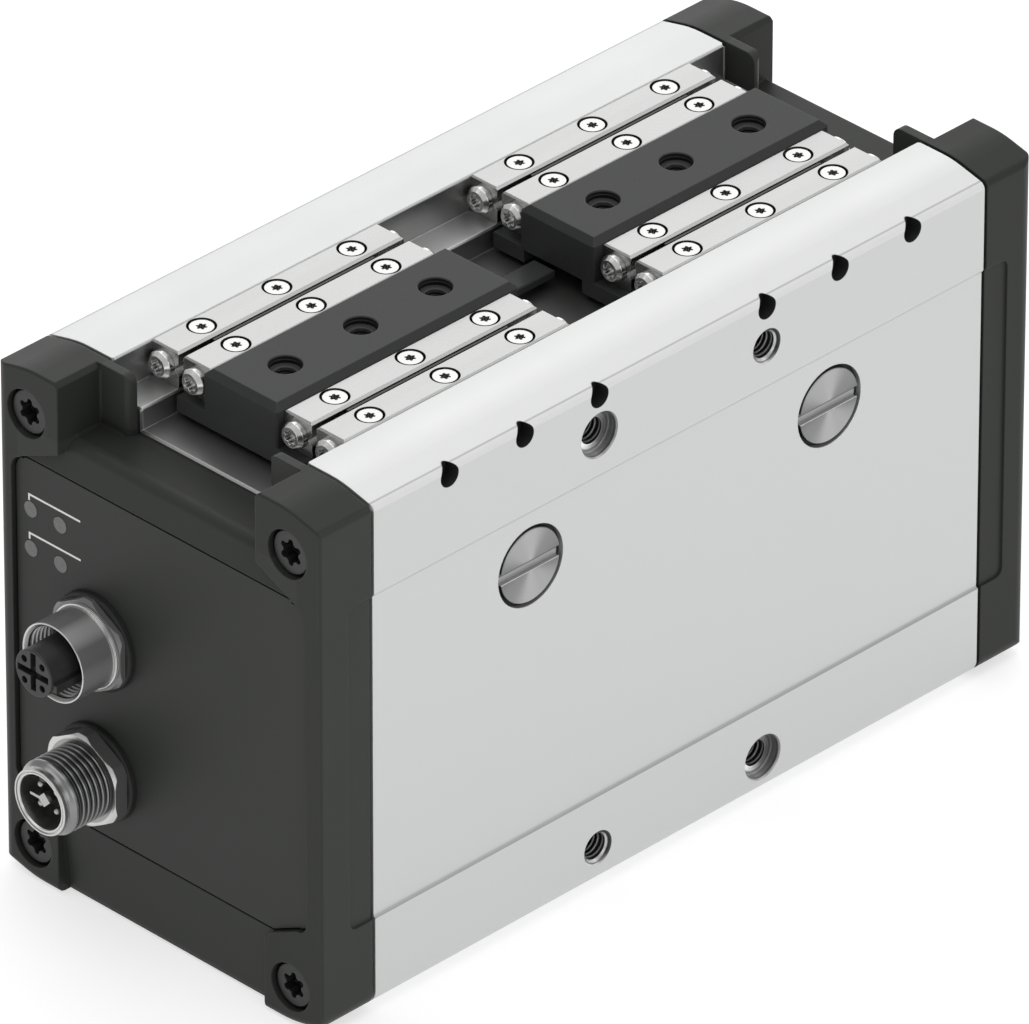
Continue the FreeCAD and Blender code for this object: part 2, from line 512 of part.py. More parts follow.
# broken upright edges of the stem
for x, d in ((JAW_IN, 1), (JAW_OUT, -1)):
    for s in (1, -1):
        y = s * (STEM_Y - 0.05)
        jaw = jaw.cut(prism_xy([(x - d * 0.05, y - s * 0.3), (x - d * 0.05, y + s * 0.05), (x + d * 0.3, y + s * 0.05)], LEDGE_Z, JAW_TOP + 1))
# a flat tongue on the left jaw keeps the two in line: it runs into a channel under the right jaw as they close
TONGUE_Y0, TONGUE_Y1, TONGUE_TOP = 0.05, 4.25, 79.95
put("right_jaw_block", jaw.cut(box(JAW_IN - 1, 21.8, -5.1, 6.65, JAW_BOT - 1, TONGUE_TOP + 0.35)))
tongue = box(-JAW_IN - 7.5, 7.28, TONGUE_Y0, TONGUE_Y1, TONGUE_TOP - 1.2, TONGUE_TOP)
tongue = tongue.makeChamfer(0.2, [e for e in tongue.Edges if abs(e.BoundBox.ZMin - TONGUE_TOP) < 1e-6 and e.BoundBox.ZLength < 1e-6 and e.BoundBox.XMax > 0])
put("left_jaw_block", turn_z(jaw).cut(tongue))
put("left_jaw_tongue", tongue)

# toothed rack on the +Y side of the pinion; a tooth gap faces the pinion axis at rest
half, slope = MODULE * math.pi / 4 - 0.06, math.tan(PRESS)
tip, root = PITCH_R - 0.9, PITCH_R + 1.25
pts = [(-14.4, RACK_BACK), (-14.4, root)]
for k in range(-5, 5):
    x = (k + 0.5) * math.pi * MODULE
    hr, ht = half + slope * (root - PITCH_R), half - slope * (PITCH_R - tip)
    if x - hr < -14.3:
        continue
    pts += [(x - hr, root), (x - ht, tip), (x + ht, tip), (x + hr, root)]
pts += [(DOG_X0, root), (DOG_X0, DOG_Y0), (DOG_X1, DOG_Y0), (DOG_X1, RACK_BACK)]
rack = prism_xy(pts, GEAR_Z0, 70.4).fuse(box(DOG_X0, DOG_X1, DOG_Y0, DOG_Y1, 70.4, JAW_BOT)).removeSplitter()
cut = []
for x in rack_screw_x:
    cut.append(cylz(GEAR_Z0 - 1, JAW_BOT + 1, x, 5.4, 1.3))
    cut.append(cylz(GEAR_Z0 - 1, GEAR_Z0 + 3.0, x, 5.4 + 1.2, 2.9))
    cut.append(cylz(GEAR_Z0 - 1, GEAR_Z0 + 3.0, x, 5.4, 1.3))
rack = rack.cut(Part.makeCompound(cut))
put("right_rack", rack)
put("left_rack", turn_z(rack))


def rack_screw(x):
    h = cylz(GEAR_Z0 + 0.4, GEAR_Z0 + 3.0, x, 5.4 + 1.2, 2.7).common(cylz(GEAR_Z0, GEAR_Z0 + 4, x, 5.4, 2.2))
    s = h.fuse(cylz(GEAR_Z0 + 3.0, 82.5, x, 5.4, 1.2)).removeSplitter()
    return s.cut(moved(star(0.9, 1.6), x, 5.4, GEAR_Z0))


rs = [rack_screw(x) for x in rack_screw_x]
put("right_rack_screws", rs)
put("left_rack_screws", [turn_z(s) for s in rs])
put("right_inner_rails", [right_in_far, mirror_y(right_in_far)])
put("left_inner_rails", [mirror_x(right_in_far), turn_z(right_in_far)])
ins = [rail_screw(JAW_X + k * PITCH, y, JAW_BOT + 0.3) for k in (-1, 0, 1) for y in (-IN_SCREW_Y, IN_SCREW_Y)]
put("right_rail_screws", ins)
put("left_rail_screws", [turn_z(s) for s in ins])
ey = 2 * GUIDE_Y - 16.9
ies = [end_screw(JAW_X + d * RAIL_L / 2, y, d) for d in (-1, 1) for y in (-ey, ey)]
put("right_rail_end_screws", ies)
put("left_rail_end_screws", [turn_z(s) for s in ies])

# ---------------------------------------------------------------- drive: motor under the trough, pinion between the racks
inv = lambda a: math.tan(a) - a
rb = PITCH_R * math.cos(PRESS)
psi = math.pi / (2 * TEETH) - 0.06 / PITCH_R


def half_angle(r):
    return psi + inv(PRESS) - (inv(math.acos(rb / r)) if r > rb else 0.0)


radii = [PITCH_R - 1.25, rb, 6.65, 7.0, 7.35, 7.65, PITCH_R + 0.9]
pts = []
for k in range(TEETH):
    a = math.pi / 2 + 2 * math.pi * k / TEETH
    pts += [(r * math.cos(a - half_angle(r)), r * math.sin(a - half_angle(r))) for r in radii]
    pts += [(r * math.cos(a + half_angle(r)), r * math.sin(a + half_angle(r))) for r in reversed(radii)]
pinion = prism_xy(pts, GEAR_Z0, GEAR_Z1).cut(cylz(60, 75, 0, 0, 4.02))
put("pinion", pinion)
shaft = cylz(18.6, GEAR_Z1 - 0.2, 0, 0, 4.0).fuse(cylz(28, 46, 0, 0, 7.4)).removeSplitter()
put("motor_shaft", shaft)
mag = []
for k in range(8):
    a = math.radians(45 * k)
    ring = cylz(28.5, 45.5, 0, 0, 10.8).cut(cylz(28, 46, 0, 0, 7.45))
    w = math.radians(19)
    wedge = prism_xy([(0, 0), (20 * math.cos(a - w), 20 * math.sin(a - w)), (20 * math.cos(a + w), 20 * math.sin(a + w))], 28, 46)
    mag.append(ring.common(wedge))
put("rotor_magnets", mag)
put("encoder_magnet", cylz(17.0, 18.6, 0, 0, 3.0))
can = cylz(17.0, RIB_Z1, 0, 0, 21.0).cut(cylz(24.0, 60, 0, 0, 17.5)).cut(cylz(19.0, 30, 0, 0, 8.02)).cut(cylz(10, 20, 0, 0, 5.0))
mx = [(19.25 * math.cos(math.radians(a)), 19.25 * math.sin(math.radians(a))) for a in (45, 135, 225, 315)]
can = can.cut(Part.makeCompound([cylz(42, 60, x, y, 1.25) for x, y in mx]))
put("motor_housing", can)
core = cylz(28, 46, 0, 0, 17.45).cut(cylz(27, 47, 0, 0, 11.3))
coils = []
for k in range(9):
    a = 40 * k
    c = box(12.2, 15.4, -2.6, 2.6, 27, 47)
    c.rotate(V(0, 0, 0), V(0, 0, 1), a)
    core = core.cut(c)
    w = box(12.35, 15.2, -2.4, 2.4, 25.6, 48.4)
    w = w.makeFillet(0.9, [e for e in w.Edges if e.BoundBox.ZLength < 1e-6 and e.BoundBox.XLength < 1e-6])
    w.rotate(V(0, 0, 0), V(0, 0, 1), a)
    coils.append(w)
put("stator_core", core)
put("stator_coils", coils)
plate = box(-24, 24, -25.7, 25.7, RIB_Z1, 60.0)
plate = plate.makeFillet(1.5, [e for e in plate.Edges if e.BoundBox.ZLength > 5])
cut = [cylz(50, 62, 0, 0, 5.0), cylz(55.0, 62, 0, 0, 8.02)]
cut += [cylz(50, 62, x, y, 1.7) for x, y in mx] + [cylz(57.0, 62, x, y, 2.9) for x, y in mx]
cut += [cylz(50, 62, x, y, 1.35) for x in (-20, 20) for y in (-24, 24)]
plate = plate.cut(Part.makeCompound(cut))
put("drive_plate", plate)


def cap_head(x, y, z_seat, z_end, r_head, h, r):
    s = cylz(z_seat, z_seat + h, x, y, r_head).fuse(cylz(z_end, z_seat, x, y, r)).removeSplitter()
    return s.cut(moved(hexagon(r * 1.5, h * 0.6), x, y, z_seat + h * 0.45))


put("drive_plate_screws", [cap_head(x, y, 60.0, 47.0, 1.85, 2.0, 1.2) for x in (-20, 20) for y in (-24, 24)])
put("motor_screws", [cap_head(x, y, 57.0, 44.0, 2.7, 2.8, 1.2) for x, y in mx])
bearing = cylz(0, 5, 0, 0, 8.0).cut(cylz(-1, 6, 0, 0, 4.03))
groove = [cylz(-1, 0.4, 0, 0, 6.9).cut(cylz(-2, 1, 0, 0, 5.2)), cylz(4.6, 6, 0, 0, 6.9).cut(cylz(4, 7, 0, 0, 5.2))]
bearing = bearing.cut(Part.makeCompound(groove))
put("motor_bearings", [moved(bearing, 0, 0, 19.0), moved(bearing, 0, 0, 55.0)])
enc = cylz(14.0, 15.2, 0, 0, 14.0).fuse(box(-3, 3, -2.5, 2.5, 15.2, 16.2)).removeSplitter()
put("encoder_board", enc)

# ---------------------------------------------------------------- control electronics
BOARD_X = -50.0
pcb = box(BOARD_X - 1.6, BOARD_X, -24.5, 24.5, 15.5, 60.0)
for s in (1, -1):
    y0, y1 = sorted((s * (RIB_Y - 0.5), s * 25.0))
    pcb = pcb.cut(box(BOARD_X - 3, BOARD_X + 1, y0, y1, RIB_Z0 - 0.5, RIB_Z1 + 0.5))
sp =[(y, z) for y in (-21.5, 21.5) for z in (18.6, 56.6)]
pcb = pcb.cut(Part.makeCompound([cylx(BOARD_X - 3, BOARD_X + 1, y, z, 1.6) for y, z in sp]))
put("controller_board", pcb)
chips = [box(BOARD_X, BOARD_X + 1.4, -7, 7, 34, 48), box(BOARD_X, BOARD_X + 1.2, 11, 17, 38, 46), box(BOARD_X, BOARD_X + 3.5, -18, -12, 24, 34),
         box(BOARD_X, BOARD_X + 3.5, -18, -12, 37, 47), cylx(BOARD_X, BOARD_X + 9, 12, 27, 4.0), cylx(BOARD_X, BOARD_X + 9, 2.5, 25, 4.0)]
put("board_components", chips)
put("board_spacers", [cylx(-67.5, BOARD_X - 1.6, y, z, 2.4).cut(cylx(BOARD_X - 8, BOARD_X, y, z, 1.25)) for y, z in sp])


def board_screw(y, z):
    s = cylx(BOARD_X, BOARD_X + 1.8, y, z, 2.5).fuse(cylx(BOARD_X - 7, BOARD_X, y, z, 1.2)).removeSplitter()
    return s.cut(moved(aim(star(1.1, 1.2), (1, 0, 0)), BOARD_X + 0.9, y, z))


put("board_screws", [board_screw(y, z) for y, z in sp])
put("led_light_pipes", [cylx(FOIL_X - 0.06, -67.6, y, z, 1.3) for y, z in LEDS])

# ---------------------------------------------------------------- front panel foil
foil = panel_outline(0.25, FOIL_X, -71.3)
foil = foil.cut(Part.makeCompound([cylx(-73, -70, CON_Y, z, 6.1) for z in (COM_Z, POW_Z)] + [cylx(-73, -70, y, z, 1.34) for y, z in LEDS]))
put("front_panel_foil", foil)

# ---------------------------------------------------------------- connectors
GASK = -73.05


def nut_collar(x0, x1, z):
    """Hexagonal collar with bevelled front corners; x0 is its front."""
    h = moved(aim(hexagon(14.0, x1 - x0, 0), (1, 0, 0)), x0, CON_Y, z)
    bevel = revolve_x([(x0, 0), (x0, 7.1), (x0 + 0.1, 7.25), (x0 + 0.4, 7.66), (x1, 7.66), (x1, 0)], CON_Y, z)
    return h.common(bevel)


# power: male, outside thread
prof = [(-83.6, 4.42), (-83.6, 4.66), (-83.42, 4.70), (-83.42, 4.86), (-83.7, 4.92), (-83.7, 5.1), (-83.6, 5.2), (-83.05, 5.22),
        (-82.7, 5.3), (-82.35, 5.48), (-82.05, 5.7), (-81.8, 5.84), (-81.5, 5.9), (-81.3, 5.88)]
x = -81.2
while x < -76.0:
    prof += [(x + 0.12, 5.5), (x + 0.3, 5.44), (x + 0.48, 5.5), (x + 0.68, 5.84), (x + 0.82, 5.9), (x + 0.9, 5.88)]
    x += 0.96
prof += [(-75.4, 5.45), (-75.2, 5.9), (-66.0, 5.9), (-66.0, 4.3), (-83.4, 4.3)]
shell = revolve_x(prof, CON_Y, POW_Z).fuse(nut_collar(-75.4, GASK, POW_Z).cut(cylx(-80, -70, CON_Y, POW_Z, 5.0))).removeSplitter()
put("power_connector_shell", shell)
ins = cylx(-79.0, -65.5, CON_Y, POW_Z, 4.25)
key = box(-82.9, -79.0, CON_Y - 0.35, CON_Y + 0.75, POW_Z + 3.2, POW_Z + 4.3).common(cylx(-90, -60, CON_Y, POW_Z, 4.25))
pin_at = [(CON_Y + 1.65 * c, POW_Z + 1.6 * t) for c in (1, -1) for t in (1, -1)]
CORE_Y = CON_Y - 0.1
core_w = 0.86
ins = ins.fuse(key).removeSplitter().cut(Part.makeCompound([cylx(-80, -72, y, z, 0.57) for y, z in pin_at]))
put("power_connector_insert", ins)
pins = []
for y, z in pin_at:
    p = cylx(-82.2, -73, y, z, 0.55)
    pins.append(p.makeFillet(0.5, [e for e in p.Edges if abs(e.BoundBox.XMin + 82.2) < 1e-6 and e.BoundBox.XLength < 1e-6]))
# middle earth contact: a square post on its corner, with a thin fin to one side
post = box(-82.9, -79.0, -core_w, core_w, -core_w, core_w)
post.rotate(V(0, 0, 0), V(1, 0, 0), 45)
post = moved(post, 0, CORE_Y, POW_Z + 0.15).fuse(box(-82.9, -79.0, CORE_Y + 0.9, CON_Y + 2.75, POW_Z - 0.05, POW_Z + 0.4)).removeSplitter()
pins.append(post)
put("power_connector_pins", pins)
seal = cylx(GASK, FOIL_X, CON_Y, POW_Z, 7.8).cut(cylx(-80, -70, CON_Y, POW_Z, 6.0))
seal = seal.makeFillet(0.5,[e for e in seal.Edges if abs(e.BoundBox.XMin - GASK) < 1e-6 and e.BoundBox.XLength < 1e-6 and e.BoundBox.ZLength > 14])
put("power_connector_gasket", seal)
put("com_connector_gasket", moved(seal, 0, 0, COM_Z - POW_Z))
# signal: female insert standing out of a shell with inside thread
prof = [(-80.62, 5.98), (-80.68, 6.04), (-80.68, 6.16), (-80.6, 6.24), (-74.75, 6.24), (-74.6, 6.4), (-74.45, 6.4), (-74.4, 6.62), (-74.0, 6.7), (-73.9, 5.9), (-66.0, 5.9), (-66.0, 4.15), (-75.6, 4.15), (-75.6, 5.5)]
x = -76.0
while x > -79.9:
    prof += [(x, 5.5), (x - 0.25, 5.9), (x - 0.45, 5.9), (x - 0.7, 5.5)]
    x -= 0.8
prof += [(-80.2, 5.6)]
shell = revolve_x(prof, CON_Y, COM_Z).fuse(nut_collar(-74.1, GASK, COM_Z).cut(cylx(-80, -70, CON_Y, COM_Z, 5.0))).removeSplitter()
put("com_connector_shell", shell)
ins = cylx(-84.5, -65.5, CON_Y, COM_Z, 3.72)
ins = ins.makeFillet(0.25, [e for e in ins.Edges if abs(e.BoundBox.XMin + 84.5) < 1e-6 and e.BoundBox.XLength < 1e-6])
cross = box(-85, -83.2, CON_Y - 3.1, CON_Y + 3.2, COM_Z - 0.56, COM_Z + 0.56).fuse(box(-85, -83.2, CON_Y - 0.56, CON_Y + 0.56, COM_Z - 2.85, COM_Z + 3.35))
con_at = [(CON_Y + 1.82 * c, COM_Z + 1.78 * s) for c, s in ((1, 1), (1, -1), (-1, 1), (-1, -1))]
rib = box(-84.1, -76.5, CON_Y - 4.35, CON_Y - 3.4, COM_Z - 1.7, COM_Z - 0.5)
ins = ins.fuse(rib).removeSplitter().cut(cross).cut(Part.makeCompound([cylx(-85, -72, y, z, 0.58) for y, z in con_at]))
put("com_connector_insert", ins)
put("com_connector_contacts", [cylx(-83.3, -72.1, y, z, 0.55).cut(cylx(-84, -79, y, z, 0.36)) for y, z in con_at])
nut = moved(aim(hexagon(14.5, 2.2), (1, 0, 0)), -67.5, CON_Y, 0).cut(cylx(-70, -60, CON_Y, 0, 5.95))
put("connector_locknuts", [moved(nut, 0, 0, z) for z in (COM_Z, POW_Z)])

# ---------------------------------------------------------------- slotted plugs in the side
plugs, rings = [], []
for x in (-PLUG_X, PLUG_X):
    p = cyly(-BODY_W + STEP_D, -28.0, x, PLUG_Z, PLUG_R)
    p = p.makeChamfer(0.12, [e for e in p.Edges if abs(e.BoundBox.YMin + BODY_W - STEP_D) < 1e-6 and e.BoundBox.YLength < 1e-6])
    p = p.fuse(cyly(-28.0, -24.0, x, PLUG_Z, 5.5)).removeSplitter()
    p = p.cut(box(x - 8, x + 8, -40, -BODY_W + STEP_D + 0.8, PLUG_Z - 0.95, PLUG_Z + 0.95))
    plugs.append(p)
    rings.append(cyly(-BODY_W + 1.3, -28.0, x, PLUG_Z, 6.53).cut(cyly(-40, -20, x, PLUG_Z, PLUG_R + 0.02)))
put("access_plugs", plugs)
put("access_plug_seals", rings)

# ---------------------------------------------------------------- write one file per node
for name, shape in nodes.items():
    bad = [i for i, s in enumerate(shape.Solids) if not s.isValid() or s.Volume <= 0]
    if bad or not shape.Solids:
        print("CHECK", name, "solids", len(shape.Solids), "bad", bad)
    shape.exportStep("parts/%s.step" % name)
print(len(nodes), "nodes")
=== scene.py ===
import math
import bpy
import bmesh
from mathutils import Matrix, Vector


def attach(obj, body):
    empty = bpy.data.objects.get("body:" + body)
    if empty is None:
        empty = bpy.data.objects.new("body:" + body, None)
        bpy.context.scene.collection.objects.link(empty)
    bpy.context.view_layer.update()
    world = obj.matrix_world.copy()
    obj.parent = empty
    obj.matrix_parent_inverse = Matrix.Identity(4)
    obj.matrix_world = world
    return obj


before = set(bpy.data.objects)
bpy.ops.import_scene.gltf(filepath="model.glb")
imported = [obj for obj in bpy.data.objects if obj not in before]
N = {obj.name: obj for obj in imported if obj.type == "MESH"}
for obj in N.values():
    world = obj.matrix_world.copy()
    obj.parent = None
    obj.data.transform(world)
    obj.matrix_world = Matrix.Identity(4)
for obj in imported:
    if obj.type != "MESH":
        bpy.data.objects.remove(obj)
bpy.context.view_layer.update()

scene = bpy.context.scene
scene.view_settings.view_transform = "Standard"
scene.view_settings.look = "None"
MM = 0.001

# ------------------------------------------------------------------ camera (image taken as 1029 x 1024)
cam_data = bpy.data.cameras.new("camera")
cam_data.sensor_fit = "HORIZONTAL"
cam_data.sensor_width = 36.0
cam_data.lens = 17704.74 * 36.0 / 1029.0
cam_data.clip_start = 0.05
cam_data.clip_end = 60.0
cam = bpy.data.objects.new("camera", cam_data)
scene.collection.objects.link(cam)
cam.matrix_world = Matrix((
    (0.706109, 0.375848, -0.600124, -1.536753),
    (-0.708102, 0.375925, -0.597722, -1.529644),
    (0.000950, 0.847006, 0.531583, 1.402919),
    (0, 0, 0, 1)))
scene.camera = cam

# ------------------------------------------------------------------ studio
world = bpy.data.worlds.new("studio")
scene.world = world
world.use_nodes = True
bg = world.node_tree.nodes["Background"]
bg.inputs["Color"].default_value = (1.0, 1.0, 1.0, 1)
bg.inputs["Strength"].default_value = 0.56


def soft_light(name, pos, target, size_x, size_y, radiance, spread=180):
    """Rectangular soft box; its power is set from the brightness of its face."""
    d = bpy.data.lights.new(name, "AREA")
    d.shape = "RECTANGLE"
    d.size, d.size_y = size_x, size_y
    d.energy = radiance * math.pi * size_x * size_y
    d.spread = math.radians(spread)
    o = bpy.data.objects.new(name, d)
    scene.collection.objects.link(o)
    o.location = pos
    o.rotation_euler = (Vector(target) - Vector(pos)).to_track_quat("-Z", "Y").to_euler()
    return o


soft_light("top_box", (0.0, 0.1, 1.6), (0, 0, 0.05), 1.8, 1.8, 1.15)
soft_light("back_box", (1.6, 1.35, 0.95), (0, 0, 0.08), 2.6, 1.8, 1.22)
soft_light("side_box", (1.25, -1.15, 1.25), (0, 0, 0.06), 0.9, 0.9, 0.8)
soft_light("front_fill", (-0.3, -1.9, 0.75), (0, 0, 0.03), 1.8, 0.9, 1.2)

floor_mesh = bpy.data.meshes.new("floor")
bm = bmesh.new()
bmesh.ops.create_grid(bm, x_segments=8, y_segments=8, size=6.0)
bm.to_mesh(floor_mesh)
bm.free()
floor = bpy.data.objects.new("floor", floor_mesh)
scene.collection.objects.link(floor)
floor.location = (0, 0, -0.00005)


# ------------------------------------------------------------------ materials
class Mat:
    """A node material with its principled shader and short helpers."""

    def __init__(self, name):
        self.m = bpy.data.materials.new(name)
        self.m.use_nodes = True
        self.t = self.m.node_tree
        self.b = self.t.nodes["Principled BSDF"]
        self.co = self.node("ShaderNodeTexCoord").outputs["Object"]

    def node(self, kind, **props):
        n = self.t.nodes.new(kind)
        for k, v in props.items():
            setattr(n, k, v)
        return n

    def link(self, a, b):
        self.t.links.new(a, b)

    def stretched(self, sx, sy, sz):
        n = self.node("ShaderNodeMapping")
        n.inputs["Scale"].default_value = (sx, sy, sz)
        self.link(self.co, n.inputs["Vector"])
        return n.outputs["Vector"]

    def noise(self, vec, scale, detail=3.0, rough=0.55):
        n = self.node("ShaderNodeTexNoise")
        n.inputs["Scale"].default_value = scale
        n.inputs["Detail"].default_value = detail
        n.inputs["Roughness"].default_value = rough
        self.link(vec, n.inputs["Vector"])
        return n.outputs["Fac"]

    def remap(self, val, a, b, c, d):
        n = self.node("ShaderNodeMapRange")
        for i, x in zip(("From Min", "From Max", "To Min", "To Max"), (a, b, c, d)):
            n.inputs[i].default_value = x
        self.link(val, n.inputs["Value"])
        return n.outputs["Result"]

    def math(self, op, a, b):
        n = self.node("ShaderNodeMath", operation=op)
        for i, x in enumerate((a, b)):
            if isinstance(x, (int, float)):
                n.inputs[i].default_value = x
            else:
                self.link(x, n.inputs[i])
        return n.outputs[0]

    def blend(self, fac, c0, c1):
        n = self.node("ShaderNodeMix", data_type="RGBA")
        self.link(fac, n.inputs["Factor"])
        for s, c in ((n.inputs[6], c0), (n.inputs[7], c1)):
            if isinstance(c, tuple):
                s.default_value = c if len(c) == 4 else (*c, 1)
            else:
                self.link(c, s)
        return n.outputs[2]

    def edge(self, radius, lo, hi):
        """0 on flat ground, 1 close to an edge."""
        bev = self.node("ShaderNodeBevel", samples=6)
        bev.inputs["Radius"].default_value = radius
        geo = self.node("ShaderNodeNewGeometry")
        dot = self.node("ShaderNodeVectorMath", operation="DOT_PRODUCT")
        self.link(bev.outputs["Normal"], dot.inputs[0])
        self.link(geo.outputs["Normal"], dot.inputs[1])
        return self.remap(dot.outputs["Value"], hi, lo, 0.0, 1.0)

    def crease(self, distance, samples=8):
        """1 in the open, falling to 0 in corners and gaps."""
        n = self.node("ShaderNodeAmbientOcclusion", samples=samples, only_local=False)
        n.inputs["Distance"].default_value = distance
        return n.outputs["AO"]

    def axes(self):
        n = self.node("ShaderNodeSeparateXYZ")
        self.link(self.co, n.inputs[0])
        return n.outputs["X"], n.outputs["Y"], n.outputs["Z"]

    def near_axis(self, a, b, ca, cb, r0, r1):
        """1 inside r0 round the line (a, b) = (ca, cb), 0 outside r1."""
        da, db = self.math("SUBTRACT", a, ca), self.math("SUBTRACT", b, cb)
        r = self.math("SQRT", self.math("ADD", self.math("MULTIPLY", da, da), self.math("MULTIPLY", db, db)), 0.0)
        return self.remap(r, r0, r1, 1.0, 0.0)

    def both(self, *facs):
        """All of the masks at once."""
        out = facs[0]
        for f in facs[1:]:
            out = self.math("MULTIPLY", out, f)
        return out

    def grey(self, val):
        n = self.node("ShaderNodeCombineColor")
        for i in range(3):
            self.link(val, n.inputs[i])
        return n.outputs[0]

    def socket(self, name):
        """What feeds a shader socket now."""
        s = self.b.inputs[name]
        return s.links[0].from_socket if s.links else None

    def fade(self, name, fac, value):
        """Blend a shader socket's value towards a constant where fac is 1."""
        old = self.socket(name)
        if old is None:
            old = self.b.inputs[name].default_value
        n = self.node("ShaderNodeMix", data_type="FLOAT")
        self.link(fac, n.inputs["Factor"])
        if isinstance(old, float):
            n.inputs[2].default_value = old
        else:
            self.link(old, n.inputs[2])
        n.inputs[3].default_value = value
        self.link(n.outputs[0], self.b.inputs[name])

    def tint(self, fac, color):
        """Blend the base colour towards a constant where fac is 1."""
        self.link(self.blend(fac, self.socket("Base Color"), color), self.b.inputs["Base Color"])

    def bump(self, height, strength, distance, radius=0.0):
        n = self.node("ShaderNodeBump")
        n.inputs["Strength"].default_value = strength
        n.inputs["Distance"].default_value = distance
        self.link(height, n.inputs["Height"])
        if radius:
            bev = self.node("ShaderNodeBevel", samples=6)
            bev.inputs["Radius"].default_value = radius
            self.link(bev.outputs["Normal"], n.inputs["Normal"])
        self.link(n.outputs["Normal"], self.b.inputs["Normal"])
        return n


def tone(c, k):
    return tuple(min(1.0, x * k) for x in c)


def finish_mat(name, color, metallic, rough, var=0.06, rough_var=0.05, patch=90.0, grain=9000.0, grain_depth=0.000004,
               strength=0.25, stretch=(1, 1, 1), radius=0.00022, edge_highlight_color=None, edge_amount=0.5, specular=0.5, aniso=0.0, coat=0.0,
               crease=0.0, crease_shade_tone=0.25):
    """Base finish: cloudy tone, fine grain in bump and roughness, softly rounded edges; a painted edge highlight,
    uneven along the edge, and painted shade in corners and gaps where crease is set.
    """
    m = Mat(name)
    b = m.b
    b.inputs["Metallic"].default_value = metallic
    b.inputs["Specular IOR Level"].default_value = specular
    b.inputs["Anisotropic"].default_value = aniso
    if coat:
        b.inputs["Coat Weight"].default_value = coat
        b.inputs["Coat Roughness"].default_value = 0.2
    cloud = m.noise(m.co, patch, 4.0)
    vec = m.stretched(*stretch)
    fine = m.noise(vec, grain, 2.0)
    mixv = m.math("ADD", m.math("MULTIPLY", cloud, 0.65), m.math("MULTIPLY", fine, 0.35))
    col = m.blend(m.remap(mixv, 0.3, 0.7, 0.0, 1.0), tone(color, 1 - var), tone(color, 1 + var))
    open_ = m.crease(crease) if crease else None
    # painted highlight: base colour lightened along edges, kept out of concave corners by the occlusion mask
    if edge_highlight_color:
        e = m.edge(radius * 1.6, 0.80, 0.985)
        if crease:
            e = m.math("MULTIPLY", e, m.remap(open_, 0.78, 0.95, 0.0, 1.0))
        e = m.math("MULTIPLY", e, m.remap(m.noise(m.co, 700.0, 3.0), 0.35, 0.65, edge_amount * 0.45, edge_amount))
        col = m.blend(e, col, edge_highlight_color)
    # painted shade: base colour darkened in corners and gaps by ambient occlusion
    if crease:
        col = m.blend(m.remap(open_, 0.15, 0.75, 1.0, 0.0), col, tone(color, crease_shade_tone))
    m.link(col, b.inputs["Base Color"])
    m.link(m.remap(mixv, 0.25, 0.75, rough - rough_var, rough + rough_var), b.inputs["Roughness"])
    m.bump(fine, strength, grain_depth, radius)
    return m


MATS = {}
MATS["body"] = finish_mat("anodised_aluminium", (0.588, 0.597, 0.592), 0.80, 0.48, var=0.014, rough_var=0.05, patch=55, grain=11000, grain_depth=0.000004, strength=0.22,
                          stretch=(0.35, 1, 1), radius=0.00018, edge_highlight_color=(0.74, 0.745, 0.74), edge_amount=0.4)
m = MATS["body"]
px, py, pz = m.axes()
# the milled trough is bare, bright metal
inside = m.math("MULTIPLY", m.remap(m.math("ABSOLUTE", py, 0.0), 0.01955, 0.01965, 1.0, 0.0), m.remap(pz, 0.0705, 0.0708, 0.0, 1.0))
milled = m.noise(m.stretched(0.01, 1, 1), 3000.0, 1.0)
m.tint(inside, m.blend(milled, (0.31, 0.314, 0.31), (0.35, 0.354, 0.35)))
m.fade("Metallic", inside, 0.92)
m.fade("Roughness", inside, 0.30)
# painted highlight: the trough lightened towards its ends
trough_end_highlight = m.both(inside, m.remap(m.math("ABSOLUTE", px, 0.0), 0.055, 0.062, 0.0, 0.5))
m.tint(trough_end_highlight, (0.50, 0.505, 0.50))
# painted highlight: a light line along the ledge edge
ledge_highlight_line = m.both(inside, m.remap(m.math("ABSOLUTE", m.math("SUBTRACT", pz, 0.0807), 0.0), 0.00008, 0.00012, 1.0, 0.0))
m.tint(ledge_highlight_line, (0.52, 0.526, 0.52))
m.fade("Metallic", ledge_highlight_line, 0.8)
# painted highlight on the trough's edges
m.tint(m.both(inside, m.edge(0.0003, 0.80, 0.985)), (0.80, 0.806, 0.80))
# painted shade in the trough's corners and gaps
m.tint(m.both(inside, m.remap(m.crease(0.0008), 0.25, 0.62, 0.7, 0.0)), (0.06, 0.061, 0.06))
painted_hole_shade = None
for hx in (-0.047, -0.032, -0.017, 0.017, 0.032, 0.047):
    k = m.near_axis(px, pz, hx, 0.0836, 0.00178, 0.0018)
    painted_hole_shade = k if painted_hole_shade is None else m.math("MAXIMUM", painted_hole_shade, k)
painted_hole_shade = m.math("MULTIPLY", painted_hole_shade, m.remap(py, -0.0205, -0.0204, 1.0, 0.0))
